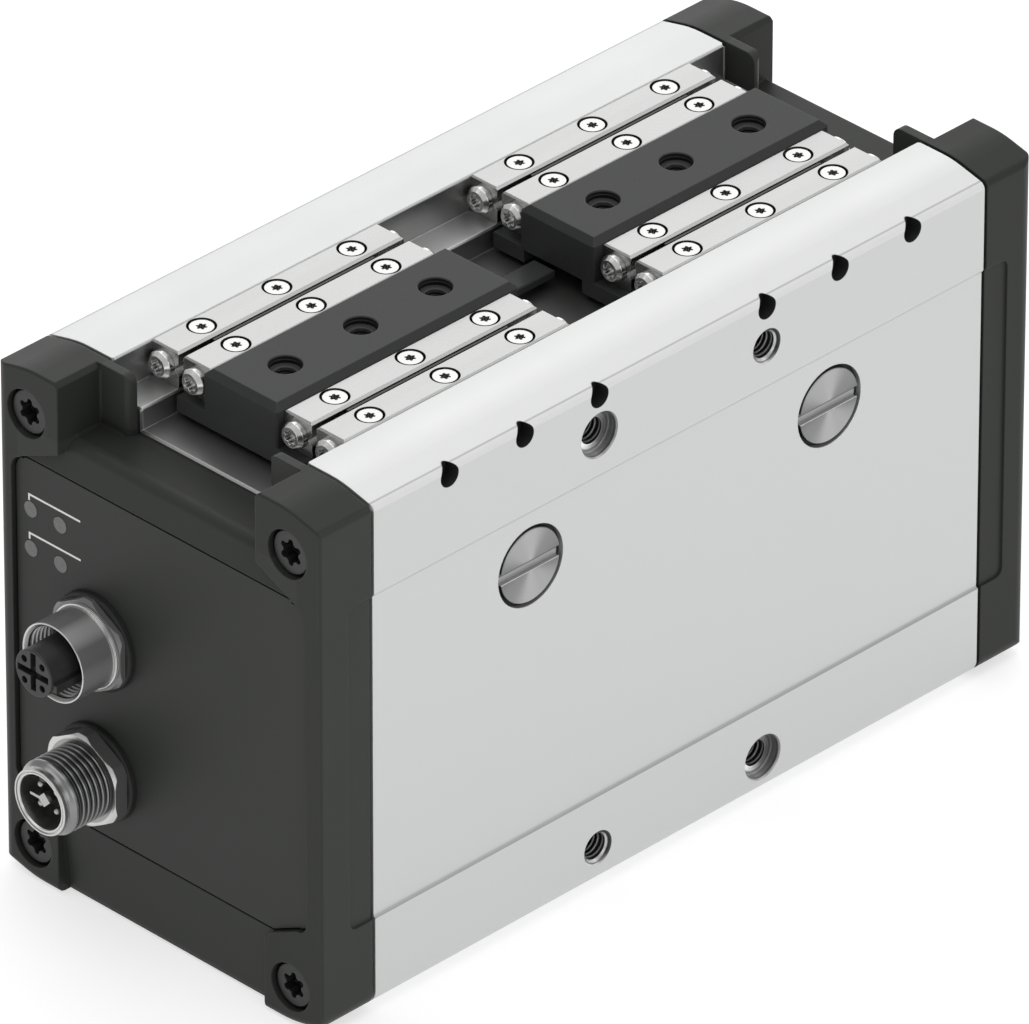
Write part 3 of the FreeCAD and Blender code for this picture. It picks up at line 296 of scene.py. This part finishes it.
# painted shade along the edges of the sunk side band; painted light on the near side of the top slope; a painted
# highlight band with a painted shade line at the broken edge between slope and side
ay = m.math("ABSOLUTE", py, 0.0)
out = m.remap(ay, 0.0325, 0.03255, 0.0, 1.0)
step_slope_shade = m.both(out, m.remap(pz, 0.01675, 0.0160, 0.0, 1.0), m.remap(pz, 0.01596, 0.01599, 0.0, 1.0))
m.tint(m.math("POWER", step_slope_shade, 1.4), (0.36, 0.365, 0.36))
m.fade("Metallic", step_slope_shade, 0.4)
step_line_shade = m.both(out, m.remap(m.math("ABSOLUTE", m.math("SUBTRACT", pz, 0.07027), 0.0), 0.0001, 0.00042, 0.7, 0.0))
m.tint(step_line_shade, (0.52, 0.527, 0.522))
near_flange_light = m.both(m.remap(ay, 0.0197, 0.0250, 0.0, 1.0), m.remap(pz, 0.0848, 0.0850, 0.0, 1.0), m.remap(py, -0.001, 0.001, 1.0, 0.0))
m.tint(near_flange_light, (0.632, 0.636, 0.634))
fillet_highlight_band = m.both(m.remap(ay, 0.03212, 0.03220, 0.0, 1.0), m.remap(pz, 0.0841, 0.0844, 0.0, 1.0))
m.tint(fillet_highlight_band, (0.67, 0.674, 0.67))
m.fade("Metallic", fillet_highlight_band, 0.0)
# painted shade line at the boundary of the fillet band
line = m.both(m.remap(m.math("ABSOLUTE", m.math("SUBTRACT", ay, 0.03213), 0.0), 0.0001, 0.00022, 0.85, 0.0), m.remap(pz, 0.0850, 0.0851, 0.0, 1.0))
m.tint(line, (0.40, 0.403, 0.40))
m.fade("Metallic", line, 0.0)
# painted shade: the rail adjusting holes are painted near-black inside
m.tint(painted_hole_shade, (0.012, 0.012, 0.012))
m.fade("Metallic", painted_hole_shade, 0.0)
m.fade("Roughness", painted_hole_shade, 0.6)
# side holes: bare turned metal in the wide bores and countersinks, dark threads behind; the tones are painted shade and
# painted highlights: shaded by direction round each hole, a painted highlight at the lower left of the bores, threads
# painted darker towards the roots and with depth
sgx, sgy, dz0 = m.math("SIGN", px, 0.0), m.math("SIGN", py, 0.0), m.math("SUBTRACT", pz, 0.0422)
sgz = m.math("SIGN", dz0, 0.0)
hdx = m.math("SUBTRACT", m.math("ABSOLUTE", px, 0.0), m.math("ADD", 0.0185, m.math("MULTIPLY", sgy, 0.0015)))
hdz = m.math("SUBTRACT", m.math("ABSOLUTE", dz0, 0.0), 0.035)
hr = m.math("SQRT", m.math("ADD", m.math("MULTIPLY", hdx, hdx), m.math("MULTIPLY", hdz, hdz)), 0.0)
wide_hole = m.both(sgx, sgz, sgy)                                   # 1 at wide bores, -1 at countersinks
deep = m.math("SUBTRACT", 0.033, ay)
painted_light_turn = m.math("ADD", m.math("MULTIPLY", m.both(hdx, sgx, sgy), -0.94), m.math("MULTIPLY", m.math("MULTIPLY", hdz, sgz), 0.34))
painted_light_turn = m.math("DIVIDE", painted_light_turn, m.math("MAXIMUM", hr, 0.0001))
near_hole = m.both(m.remap(m.math("SUBTRACT", m.math("ADD", 0.00328, m.math("MULTIPLY", wide_hole, 0.00045)), hr), 0.0, 0.00003, 0.0, 1.0), m.remap(ay, 0.0215, 0.0216, 0.0, 1.0))
lines = m.math("SINE", m.math("MULTIPLY", m.math("ADD", hr, m.math("MULTIPLY", deep, 0.9)), 2 * math.pi / 0.00068), 0.0)
bore = m.math("MULTIPLY", m.remap(painted_light_turn, -1.0, 0.9, 0.58, 0.22), m.remap(lines, -0.6, 1.0, 0.85, 1.12))
low_left = m.math("ADD", m.math("MULTIPLY", m.both(hdx, sgx, sgy), -0.45), m.math("MULTIPLY", m.math("MULTIPLY", hdz, sgz), 0.89))
low_left = m.math("DIVIDE", low_left, m.math("MAXIMUM", hr, 0.0001))
lit = m.both(m.remap(hr, 0.0028, 0.0030, 1.0, 0.0), m.remap(low_left, -0.95, -0.55, 1.0, 0.0))
bore = m.math("ADD", bore, m.math("MULTIPLY", lit, 0.5))
sink = m.math("MULTIPLY", m.remap(painted_light_turn, -0.75, 0.45, 0.85, 0.06), m.remap(m.math("ABSOLUTE", m.math("SUBTRACT", hr, 0.00255), 0.0), 0.00004, 0.00012, 0.35, 1.0))
sink = m.math("MAXIMUM", sink, m.remap(hr, 0.00234, 0.0024, 0.5, 0.0))
pick = m.remap(wide_hole, -0.5, 0.5, 0.0, 1.0)
bare = m.math("ADD", m.math("MULTIPLY", bore, pick), m.math("MULTIPLY", sink, m.math("SUBTRACT", 1.0, pick)))
thread = m.math("MULTIPLY", m.remap(hr, 0.00186, 0.00206, 0.34, 0.09), m.remap(deep, 0.001, 0.0075, 1.0, 0.2))
in_thread = m.remap(hr, 0.00211, 0.00214, 1.0, 0.0)
shade = m.math("ADD", m.math("MULTIPLY", thread, in_thread), m.math("MULTIPLY", bare, m.math("SUBTRACT", 1.0, in_thread)))
m.tint(near_hole, m.grey(shade))
m.fade("Metallic", near_hole, 0.85)
m.fade("Roughness", near_hole, 0.32)
MATS["cap"] = finish_mat("dark_cap", (0.0258, 0.0281, 0.0253), 0.0, 0.44, var=0.06, rough_var=0.06, patch=70, grain=8000, grain_depth=0.000008, strength=0.35,
                         radius=0.00035, edge_highlight_color=(0.047, 0.0495, 0.046), edge_amount=0.5, specular=0.13, crease=0.0010, crease_shade_tone=0.45)
m = MATS["cap"]
px, py, pz = m.axes()
ay = m.math("ABSOLUTE", py, 0.0)
# painted light: the front cap's flanks and leaning band and the caps' ears lightened for how the light falls on them
lit_flank = m.both(m.remap(ay, 0.0324, 0.0326, 0.0, 1.0), m.remap(px, -0.001, 0.001, 1.0, 0.0))
m.tint(lit_flank, (0.0325, 0.0350, 0.0322))
lit_leaning_band = m.both(m.remap(ay, 0.0282, 0.0285, 1.0, 0.0), m.remap(pz, 0.0713, 0.0716, 0.0, 1.0), m.remap(pz, 0.0768, 0.0772, 1.0, 0.0), m.remap(px, -0.0690, -0.0688, 1.0, 0.0))
m.tint(lit_leaning_band, (0.0315, 0.0341, 0.0309))
lit_ears = m.both(m.remap(ay, 0.0198, 0.0200, 1.0, 0.0), m.remap(pz, 0.0775, 0.0780, 0.0, 1.0), m.remap(m.math("ABSOLUTE", px, 0.0), 0.0646, 0.0648, 1.0, 0.0))
m.tint(lit_ears, (0.0350, 0.0376, 0.0346))
MATS["foil"] = finish_mat("panel_foil", (0.0252, 0.0275, 0.0247), 0.0, 0.5, var=0.05, rough_var=0.04, patch=60, grain=14000, grain_depth=0.000006, strength=0.35,
                          radius=0.0001, edge_highlight_color=(0.05, 0.05, 0.05), edge_amount=0.4, specular=0.22, crease=0.0006, crease_shade_tone=0.35)
MATS["rubber"] = finish_mat("black_rubber", (0.012, 0.012, 0.012), 0.0, 0.62, var=0.2, rough_var=0.08, patch=200, grain=6000, grain_depth=0.00001, strength=0.4, radius=0.0001, specular=0.35)
MATS["pale_seal"] = finish_mat("grey_rubber", (0.30, 0.303, 0.30), 0.0, 0.6, var=0.08, rough_var=0.06, patch=200, grain=6000, grain_depth=0.00001, strength=0.4, radius=0.0001, specular=0.3)
MATS["rail"] = finish_mat("ground_rail_steel", (0.415, 0.416, 0.413), 1.0, 0.27, var=0.01, rough_var=0.02, patch=120, grain=9000, grain_depth=0.000003, strength=0.14,
                          stretch=(0.03, 1, 1), radius=0.00012, edge_highlight_color=(0.60, 0.60, 0.595), edge_amount=0.6, aniso=0.3)
m = MATS["rail"]
px, py, pz = m.axes()
# painted shade: the counterbore ring round each rail screw painted near-black
off = m.math("ABSOLUTE", m.math("SUBTRACT", m.math("ABSOLUTE", px, 0.0), 0.032), 0.0)
off = m.math("MINIMUM", off, m.math("ABSOLUTE", m.math("SUBTRACT", off, 0.015), 0.0))
ay = m.math("ABSOLUTE", py, 0.0)
across = m.math("MINIMUM", m.math("ABSOLUTE", m.math("SUBTRACT", ay, 0.017), 0.0), m.math("ABSOLUTE", m.math("SUBTRACT", ay, 0.010), 0.0))
ring = m.remap(m.math("SQRT", m.math("ADD", m.math("MULTIPLY", off, off), m.math("MULTIPLY", across, across)), 0.0), 0.00222, 0.00226, 1.0, 0.0)
m.tint(ring, (0.012, 0.012, 0.012))
m.fade("Metallic", ring, 0.0)
m.fade("Roughness", ring, 0.6)
MATS["screw"] = finish_mat("bright_screw_steel", (0.56, 0.56, 0.552), 1.0, 0.24, var=0.05, rough_var=0.07, patch=600, grain=12000, grain_depth=0.000003, strength=0.3,
                           radius=0.00012, edge_highlight_color=(0.78, 0.78, 0.77), edge_amount=0.5, crease=0.0007, crease_shade_tone=0.15)
MATS["end_screw"] = finish_mat("polished_screw_steel", (0.72, 0.72, 0.71), 1.0, 0.22, var=0.03, rough_var=0.04, patch=600, grain=12000, grain_depth=0.000002, strength=0.2,
                               radius=0.00015, edge_highlight_color=(0.95, 0.95, 0.94), edge_amount=0.7, crease=0.0007, crease_shade_tone=0.12)
MATS["black_screw"] = finish_mat("black_oxide_steel", (0.020, 0.020, 0.020), 0.25, 0.40, var=0.15, rough_var=0.08, patch=500, grain=9000, grain_depth=0.000005, strength=0.3,
                                 radius=0.00018, edge_highlight_color=(0.07, 0.07, 0.07), edge_amount=0.5)
MATS["jaw"] = finish_mat("hard_anodised_jaw", (0.0305, 0.0320, 0.0310), 0.0, 0.30, var=0.08, rough_var=0.06, patch=90, grain=8000, grain_depth=0.000005, strength=0.3,
                         stretch=(0.25, 1, 1), radius=0.00020, edge_highlight_color=(0.10, 0.10, 0.099), edge_amount=0.5, specular=0.13)
m = MATS["jaw"]
px, py, pz = m.axes()
# painted light: jaw faces below the top chamfer lightened
m.tint(m.remap(pz, 0.0864, 0.0866, 1.0, 0.0), (0.0365, 0.0382, 0.0371))
# painted shade inside the jaw's threaded holes, with painted highlight lines on the thread turns
jaw_hole_shade = None
for hx in (-0.047, -0.032, -0.017, 0.017, 0.032, 0.047):
    k = m.near_axis(px, py, hx, 0.0, 0.00258, 0.00262)
    jaw_hole_shade = k if jaw_hole_shade is None else m.math("MAXIMUM", jaw_hole_shade, k)
jaw_hole_shade = m.both(jaw_hole_shade, m.remap(pz, 0.0873, 0.08745, 1.0, 0.0))
turns = m.math("SINE", m.math("MULTIPLY", pz, 2 * math.pi / 0.0007), 0.0)
m.tint(jaw_hole_shade, m.blend(m.remap(turns, 0.45, 0.95, 0.0, 1.0), (0.009, 0.0094, 0.009), (0.060, 0.062, 0.060)))
MATS["gear"] = finish_mat("gear_steel", (0.45, 0.45, 0.445), 1.0, 0.33, var=0.06, rough_var=0.07, patch=150, grain=7000, grain_depth=0.000004, radius=0.00012, edge_highlight_color=(0.7, 0.7, 0.69), edge_amount=0.5)
MATS["roller"] = finish_mat("roller_steel", (0.78, 0.78, 0.78), 1.0, 0.14, var=0.03, rough_var=0.04, patch=400, grain=9000, grain_depth=0.000002, radius=0.00008, edge_highlight_color=(0.9, 0.9, 0.9), edge_amount=0.4)
MATS["cage"] = finish_mat("dark_cage_steel", (0.045, 0.045, 0.044), 0.6, 0.4, var=0.1, rough_var=0.07, patch=300, grain=8000, grain_depth=0.000004, radius=0.00006, edge_highlight_color=(0.14, 0.14, 0.14), edge_amount=0.4)
MATS["brass"] = finish_mat("stamped_brass", (0.60, 0.46, 0.21), 1.0, 0.33, var=0.06, rough_var=0.07, patch=300, grain=8000, grain_depth=0.000004, radius=0.00006, edge_highlight_color=(0.8, 0.65, 0.35), edge_amount=0.4)
MATS["plate"] = finish_mat("milled_plate", (0.58, 0.585, 0.58), 1.0, 0.36, var=0.04, rough_var=0.06, patch=90, grain=6000, grain_depth=0.000005, stretch=(0.08, 1, 1), radius=0.0002, edge_highlight_color=(0.8, 0.8, 0.8), edge_amount=0.4)
MATS["magnet"] = finish_mat("nickel_magnet", (0.5, 0.5, 0.51), 1.0, 0.22, var=0.04, rough_var=0.05, patch=250, grain=9000, radius=0.0001, edge_highlight_color=(0.7, 0.7, 0.7), edge_amount=0.4)
MATS["stator"] = finish_mat("stator_laminations", (0.16, 0.16, 0.17), 0.8, 0.45, var=0.1, rough_var=0.08, patch=150, grain=2600, grain_depth=0.00002, stretch=(0.02, 0.02, 1), radius=0.0001, edge_highlight_color=(0.3, 0.3, 0.3), edge_amount=0.4)
MATS["copper"] = finish_mat("enamelled_copper", (0.52, 0.21, 0.08), 0.9, 0.3, var=0.12, rough_var=0.08, patch=200, grain=2600, grain_depth=0.00004, stretch=(1, 1, 0.1), radius=0.0001)
MATS["board"] = finish_mat("solder_mask", (0.018, 0.115, 0.045), 0.0, 0.32, var=0.12, rough_var=0.07, patch=350, grain=5000, grain_depth=0.000006, radius=0.0001, edge_highlight_color=(0.25, 0.22, 0.12), edge_amount=0.4, coat=0.3)
MATS["chip"] = finish_mat("moulded_chip", (0.02, 0.02, 0.021), 0.0, 0.55, var=0.15, rough_var=0.08, patch=300, grain=7000, grain_depth=0.00001, radius=0.00015, edge_highlight_color=(0.06, 0.06, 0.06), edge_amount=0.4)
MATS["pipe"] = finish_mat("smoked_light_pipe", (0.103, 0.105, 0.104), 0.0, 0.28, var=0.08, rough_var=0.05, patch=500, grain=9000, grain_depth=0.000003, radius=0.00015, edge_highlight_color=(0.24, 0.24, 0.24), edge_amount=0.5)
MATS["nickel"] = finish_mat("nickel_plated_brass", (0.56, 0.56, 0.55), 1.0, 0.30, var=0.02, rough_var=0.03, patch=120, grain=9000, grain_depth=0.000001, radius=0.00012, edge_highlight_color=(0.85, 0.85, 0.84), edge_amount=0.6)
m = MATS["nickel"]
px, py, pz = m.axes()
for cz, x0, x1 in ((0.02435, -0.0815, -0.0753), (0.0466, -0.0805, -0.0746)):
    dy, dz = m.math("SUBTRACT", py, 0.01325), m.math("SUBTRACT", pz, cz)
    r = m.math("SQRT", m.math("ADD", m.math("MULTIPLY", dy, dy), m.math("MULTIPLY", dz, dz)), 0.0)
    along = m.both(m.remap(px, x0 - 0.0001, x0, 0.0, 1.0), m.remap(px, x1, x1 + 0.0001, 1.0, 0.0))
    if cz < 0.03:
        # outside thread: painted shade in the grooves, painted highlight on the crests
        zone = m.both(along, m.remap(r, 0.0052, 0.0053, 0.0, 1.0), m.remap(r, 0.0065, 0.0066, 1.0, 0.0))
        m.tint(zone, m.blend(m.remap(r, 0.00572, 0.00588, 0.0, 1.0), (0.065, 0.067, 0.065), (0.30, 0.302, 0.30)))
        # painted shade on the neck behind the front rim
        neck = m.both(m.remap(px, -0.0831, -0.0830, 0.0, 1.0), m.remap(px, -0.0816, -0.0815, 1.0, 0.0), m.remap(r, 0.0050, 0.0051, 0.0, 1.0), m.remap(r, 0.0065, 0.0066, 1.0, 0.0))
        m.tint(neck, (0.25, 0.252, 0.25))
        # painted shade on the collar flats
        shaded_collar, shaded_flat_color, share = m.both(m.remap(px, x1 + 0.0002, x1 + 0.0003, 0.0, 1.0), m.remap(r, 0.0066, 0.0067, 0.0, 1.0)), (0.13, 0.132, 0.13), 0.4
        m.tint(m.both(shaded_collar, m.remap(pz, 0.034, 0.035, 1.0, 0.0)), shaded_flat_color)
        m.fade("Metallic", m.both(shaded_collar, m.remap(pz, 0.034, 0.035, 1.0, 0.0)), share)
    else:
        # smooth shell: satin, with painted soft drawn-out highlights; painted shade in the bore and on the collar flats
        bore = m.both(along, m.remap(r, 0.0059, 0.00595, 1.0, 0.0), m.remap(r, 0.0045, 0.0046, 0.0, 1.0))
        m.tint(bore, (0.33, 0.332, 0.33))
        shaded_collar = m.both(m.remap(px, x1 + 0.0002, x1 + 0.0003, 0.0, 1.0), m.remap(r, 0.0066, 0.0067, 0.0, 1.0), m.remap(pz, 0.0375, 0.0385, 0.0, 1.0))
        m.tint(shaded_collar, (0.17, 0.172, 0.17))
        m.fade("Metallic", shaded_collar, 0.5)
        zone = m.both(along, m.remap(r, 0.00605, 0.0061, 0.0, 1.0), m.remap(r, 0.00645, 0.0065, 1.0, 0.0))
        m.tint(zone, (0.24, 0.243, 0.24))
        for ny, nz, c in ((-0.5, 0.866, 0.50), (-0.995, -0.1, 0.34)):
            painted_light_turn = m.math("DIVIDE", m.math("ADD", m.math("MULTIPLY", dy, ny), m.math("MULTIPLY", dz, nz)), m.math("MAXIMUM", r, 0.0001))
            m.tint(m.both(zone, m.remap(painted_light_turn, 0.93, 0.995, 0.0, 1.0)), (c, c * 1.008, c))
        m.fade("Metallic", zone, 0.55)
MATS["insert"] = finish_mat("moulded_insert", (0.0165, 0.0172, 0.0165), 0.0, 0.48, var=0.15, rough_var=0.08, patch=400, grain=9000, grain_depth=0.000006, radius=0.0001, edge_highlight_color=(0.07, 0.07, 0.07), edge_amount=0.4)
MATS["tin"] = finish_mat("tinned_contact", (0.42, 0.42, 0.41), 1.0, 0.3, var=0.04, rough_var=0.05, patch=500, grain=9000, radius=0.0001, edge_highlight_color=(0.7, 0.7, 0.69), edge_amount=0.5)
MATS["silver"] = finish_mat("silver_contact", (0.85, 0.85, 0.83), 1.0, 0.2, var=0.04, rough_var=0.05, patch=500, grain=9000, radius=0.0001, edge_highlight_color=(0.97, 0.97, 0.96), edge_amount=0.5)


PLUG_HIGHLIGHT_FAN = 100.0       # direction of the painted highlight sectors on the turned plugs


def turned_mat(name, cx, cz):
    """Face-turned aluminium plug: fine rings round each plug's axis, anisotropic drawn-out highlights across them, and
    painted highlight sectors in the base colour.
    """
    m = Mat(name)
    b = m.b
    sep = m.node("ShaderNodeSeparateXYZ")
    m.link(m.co, sep.inputs[0])
    dx = m.math("SUBTRACT", m.math("ABSOLUTE", sep.outputs["X"], 0.0), cx)
    sgn = m.math("SIGN", sep.outputs["X"], 0.0)
    dx = m.math("MULTIPLY", dx, sgn)
    dz = m.math("SUBTRACT", sep.outputs["Z"], cz)
    r = m.math("SQRT", m.math("ADD", m.math("MULTIPLY", dx, dx), m.math("MULTIPLY", dz, dz)), 0.0)
    ring = m.math("SINE", m.math("MULTIPLY", r, 2 * math.pi / 0.00022), 0.0)
    jitter = m.node("ShaderNodeTexNoise", noise_dimensions="1D")
    jitter.inputs["Scale"].default_value = 9000
    jitter.inputs["Detail"].default_value = 2
    m.link(r, jitter.inputs["W"])
    h = m.math("ADD", m.math("MULTIPLY", ring, 0.35), jitter.outputs["Fac"])
    tan = m.node("ShaderNodeCombineXYZ")
    m.link(dz, tan.inputs["X"])
    m.link(m.math("MULTIPLY", dx, -1.0), tan.inputs["Z"])
    nrm = m.node("ShaderNodeVectorMath", operation="NORMALIZE")
    m.link(tan.outputs[0], nrm.inputs[0])
    m.link(nrm.outputs[0], b.inputs["Tangent"])
    b.inputs["Anisotropic"].default_value = 0.75
    b.inputs["Metallic"].default_value = 1.0
    # painted lit and shaded tones, blended into bow-tie highlight sectors round the axis
    lit_tone = m.blend(m.remap(h, 0.2, 0.9, 0.0, 1.0), (0.365, 0.369, 0.365), (0.43, 0.434, 0.43))
    shaded_tone = m.blend(m.remap(h, 0.2, 0.9, 0.0, 1.0), (0.172, 0.175, 0.172), (0.215, 0.218, 0.215))
    ang = m.math("ARCTAN2", dz, dx)
    highlight_fan = m.math("COSINE", m.math("MULTIPLY", m.math("SUBTRACT", ang, math.radians(PLUG_HIGHLIGHT_FAN)), 2.0), 0.0)
    fine_highlight_fan = m.math("COSINE", m.math("MULTIPLY", m.math("SUBTRACT", ang, 0.4), 6.0), 0.0)
    highlight_fan = m.math("ADD", highlight_fan, m.math("MULTIPLY", fine_highlight_fan, 0.22))
    m.link(m.blend(m.remap(highlight_fan, -1.0, 1.0, 0.0, 1.0), shaded_tone, lit_tone), b.inputs["Base Color"])
    # slot: painted grey ground, with painted shade under the upper edge and a painted highlight on the lower lip
    below = m.math("SUBTRACT", 0.03265, m.math("ABSOLUTE", sep.outputs["Y"], 0.0))
    slot = m.both(m.remap(below, 0.00002, 0.00005, 0.0, 1.0), m.remap(m.math("ABSOLUTE", dz, 0.0), 0.00096, 0.00098, 1.0, 0.0))
    m.tint(slot, m.blend(m.remap(dz, 0.00002, 0.00015, 0.0, 1.0), (0.36, 0.364, 0.36), (0.10, 0.102, 0.10)))
    m.fade("Metallic", slot, 0.2)
    m.fade("Anisotropic", slot, 0.0)
    lip_highlight = m.both(slot, m.remap(dz, -0.00094, -0.00093, 1.0, 0.0), m.remap(below, 0.00022, 0.00028, 1.0, 0.0))
    m.tint(lip_highlight, (0.95, 0.95, 0.95))
    m.fade("Metallic", lip_highlight, 0.0)
    m.link(m.remap(h, 0.0, 1.0, 0.30, 0.40), b.inputs["Roughness"])
    m.bump(h, 0.25, 0.000008, 0.00012)
    return m


MATS["plug"] = turned_mat("turned_plug", 0.03046, 0.06112)

fm = Mat("studio_floor")
fm.link(fm.blend(fm.remap(fm.noise(fm.co, 1.2, 2.0), 0.3, 0.7, 0.0, 1.0), (0.49, 0.49, 0.49), (0.51, 0.51, 0.51)), fm.b.inputs["Base Color"])
fm.b.inputs["Roughness"].default_value = 0.8
fm.b.inputs["Emission Color"].default_value = (1.0, 1.0, 1.0, 1)
fm.b.inputs["Emission Strength"].default_value = 0.62
fm.b.inputs["Specular IOR Level"].default_value = 0.1
floor.data.materials.append(fm.m)

ASSIGN = {
    "body": ["housing_profile"],
    "cap": ["front_cap", "rear_cap"],
    "foil": ["front_panel_foil"],
    "pale_seal": ["rear_cap_gasket"],
    "rubber": ["front_cap_gasket", "power_connector_gasket", "com_connector_gasket", "access_plug_seals"],
    "rail": ["right_far_outer_rail", "right_near_outer_rail", "left_far_outer_rail", "left_near_outer_rail", "right_inner_rails", "left_inner_rails"],
    "end_screw": ["outer_rail_end_screws", "right_rail_end_screws", "left_rail_end_screws"],
    "screw": ["outer_rail_screws", "right_rail_screws", "left_rail_screws",
              "right_rack_screws", "left_rack_screws", "drive_plate_screws", "motor_screws", "board_screws"],
    "black_screw": ["front_cap_screws", "rear_cap_screws", "preload_set_screws"],
    "jaw": ["right_jaw_block", "left_jaw_block", "left_jaw_tongue"],
    "gear": ["right_rack", "left_rack", "pinion", "motor_shaft"],
    "roller": ["right_rollers", "left_rollers", "motor_bearings"],
    "cage": ["right_roller_cages", "left_roller_cages"],
    "brass": ["board_spacers"],
    "plate": ["drive_plate", "motor_housing"],
    "magnet": ["rotor_magnets", "encoder_magnet"],
    "stator": ["stator_core"],
    "copper": ["stator_coils"],
    "board": ["controller_board", "encoder_board"],
    "chip": ["board_components"],
    "pipe": ["led_light_pipes"],
    "nickel": ["power_connector_shell", "com_connector_shell", "connector_locknuts"],
    "insert": ["power_connector_insert", "com_connector_insert"],
    "tin": ["power_connector_pins"],
    "silver": ["com_connector_contacts"],
    "plug": ["access_plugs"],
}
done = set()
for key, names in ASSIGN.items():
    for n in names:
        o = N[n]
        o.data.materials.clear()
        o.data.materials.append(MATS[key].m)
        done.add(n)
left = sorted(set(N) - done)
if left:
    raise RuntimeError("no finish for " + ", ".join(left))


# ------------------------------------------------------------------ added pieces
def new_piece(name, verts, faces, mat, body, smooth=True):
    me = bpy.data.meshes.new(name)
    me.from_pydata([tuple(v) for v in verts], [], faces)
    me.update()
    bm = bmesh.new()
    bm.from_mesh(me)
    bmesh.ops.recalc_face_normals(bm, faces=bm.faces)
    bm.to_mesh(me)
    bm.free()
    for p in me.polygons:
        p.use_smooth = smooth
    me.materials.append(MATS[mat].m)
    o = bpy.data.objects.new(name, me)
    scene.collection.objects.link(o)
    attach(o, body)
    return o


def thread_helix(mouths, r_wall, pitch, height, start, end, seg=40):
    """Inside screw thread: a three-cornered ridge winding along the wall of each hole. mouths = [(point, inward direction)]"""
    verts, faces = [], []
    for p, d in mouths:
        p, d = Vector(p), Vector(d).normalized()
        u = d.orthogonal().normalized()
        w = d.cross(u)
        turns = (end - start) / pitch
        n = int(turns * seg)
        base = len(verts)
        for i in range(n + 1):
            a = 2 * math.pi * i / seg
            z = start + pitch * i / seg
            ramp = min(1.0, i / (seg * 0.5), (n - i) / (seg * 0.5))
            h = height * (0.15 + 0.85 * ramp)
            dirn = u * math.cos(a) + w * math.sin(a)
            for dr, dz in ((0.03 * MM, -0.44 * pitch), (-h, -0.07 * pitch), (-h, 0.07 * pitch), (0.03 * MM, 0.44 * pitch)):
                verts.append(p + d * (z + dz) + dirn * (r_wall + dr))
        for i in range(n):
            a, b = base + 4 * i, base + 4 * (i + 1)
            for k in range(4):
                faces.append((a + k, a + (k + 1) % 4, b + (k + 1) % 4, b + k))
        faces.append((base, base + 1, base + 2, base + 3))
        e = base + 4 * n
        faces.append((e + 3, e + 2, e + 1, e))
    return verts, faces


side = []
wide = []
for s in (-1, 1):
    for x in ((-17, 17) if s < 0 else (-20, 20)):
        for z in (77.2, 7.2):
            big = (x * s > 0) == (z == 77.2)
            (wide if big else side).append(((x * MM, s * 33 * MM, z * MM), (0, -s, 0)))
v, f = thread_helix(side, 2.1 * MM, 0.8 * MM, 0.27 * MM, 1.15 * MM, 10.4 * MM)
v2, f2 = thread_helix(wide, 2.1 * MM, 0.8 * MM, 0.27 * MM, 2.1 * MM, 10.4 * MM)
f += [tuple(i + len(v) for i in q) for q in f2]
v += v2
new_piece("side_hole_threads", v, f, "body", "housing")
lo = [((x * MM, y * MM, 0), (0, 0, 1)) for x in (-36, 36) for y in (-18, 18)]
v, f = thread_helix(lo, 2.1 * MM, 0.8 * MM, 0.27 * MM, 2.1 * MM, 9.4 * MM)
new_piece("base_hole_threads", v, f, "body", "housing")
TOP = 87.63
for nm, s in (("right", 1), ("left", -1)):
    holes = [((s * (32 + k * 15) * MM, 0, TOP * MM), (0, 0, -1)) for k in (-1, 0, 1)]
    v, f = thread_helix(holes, 1.25 * MM, 0.5 * MM, 0.16 * MM, 2.05 * MM, 6.9 * MM, seg=32)
    new_piece(nm + "_jaw_hole_threads", v, f, "jaw", nm + "_jaw")


def strip(points, width, x_face, rise):
    """Thin printed line on the panel: (y, z) points in mm, drawn as one closed raised ribbon."""
    verts, faces = [], []
    n = len(points)
    P = [Vector((p[0], p[1])) for p in points]
    for i in range(n):
        a = (P[i] - P[i - 1]).normalized() if i else (P[1] - P[0]).normalized()
        b = (P[i + 1] - P[i]).normalized() if i < n - 1 else a
        t = (a + b).normalized()
        nrm = Vector((-t.y, t.x)) * (width / 2 / max(0.3, t.dot(a)))
        for side_sign in (1, -1):
            q = P[i] + nrm * side_sign
            verts.append(((x_face - rise) * MM, q.x * MM, q.y * MM))
            verts.append(((x_face + 0.01) * MM, q.x * MM, q.y * MM))
    for i in range(n - 1):
        a, b = 4 * i, 4 * (i + 1)
        faces += [(a, a + 2, b + 2, b), (a + 2, a + 3, b + 3, b + 2), (a + 3, a + 1, b + 1, b + 3), (a + 1, a, b, b + 1)]
    faces += [(0, 1, 3, 2), (4 * n - 4, 4 * n - 2, 4 * n - 1, 4 * n - 3)]
    return verts, faces


MATS["ink"] = finish_mat("printed_line", (0.70, 0.70, 0.69), 0.0, 0.55, var=0.05, rough_var=0.05, patch=800, grain=9000, grain_depth=0.000003, radius=0.00004)
v, f = [], []
for z in (65.1, 58.6):
    a, b = strip([(26.9, z - 1.0), (26.9, z), (16.4, z)], 0.34, -71.9, 0.02)
    f += [tuple(i + len(v) for i in q) for q in b]
    v += a
new_piece("panel_lamp_lines", v, f, "ink", "housing", smooth=False)
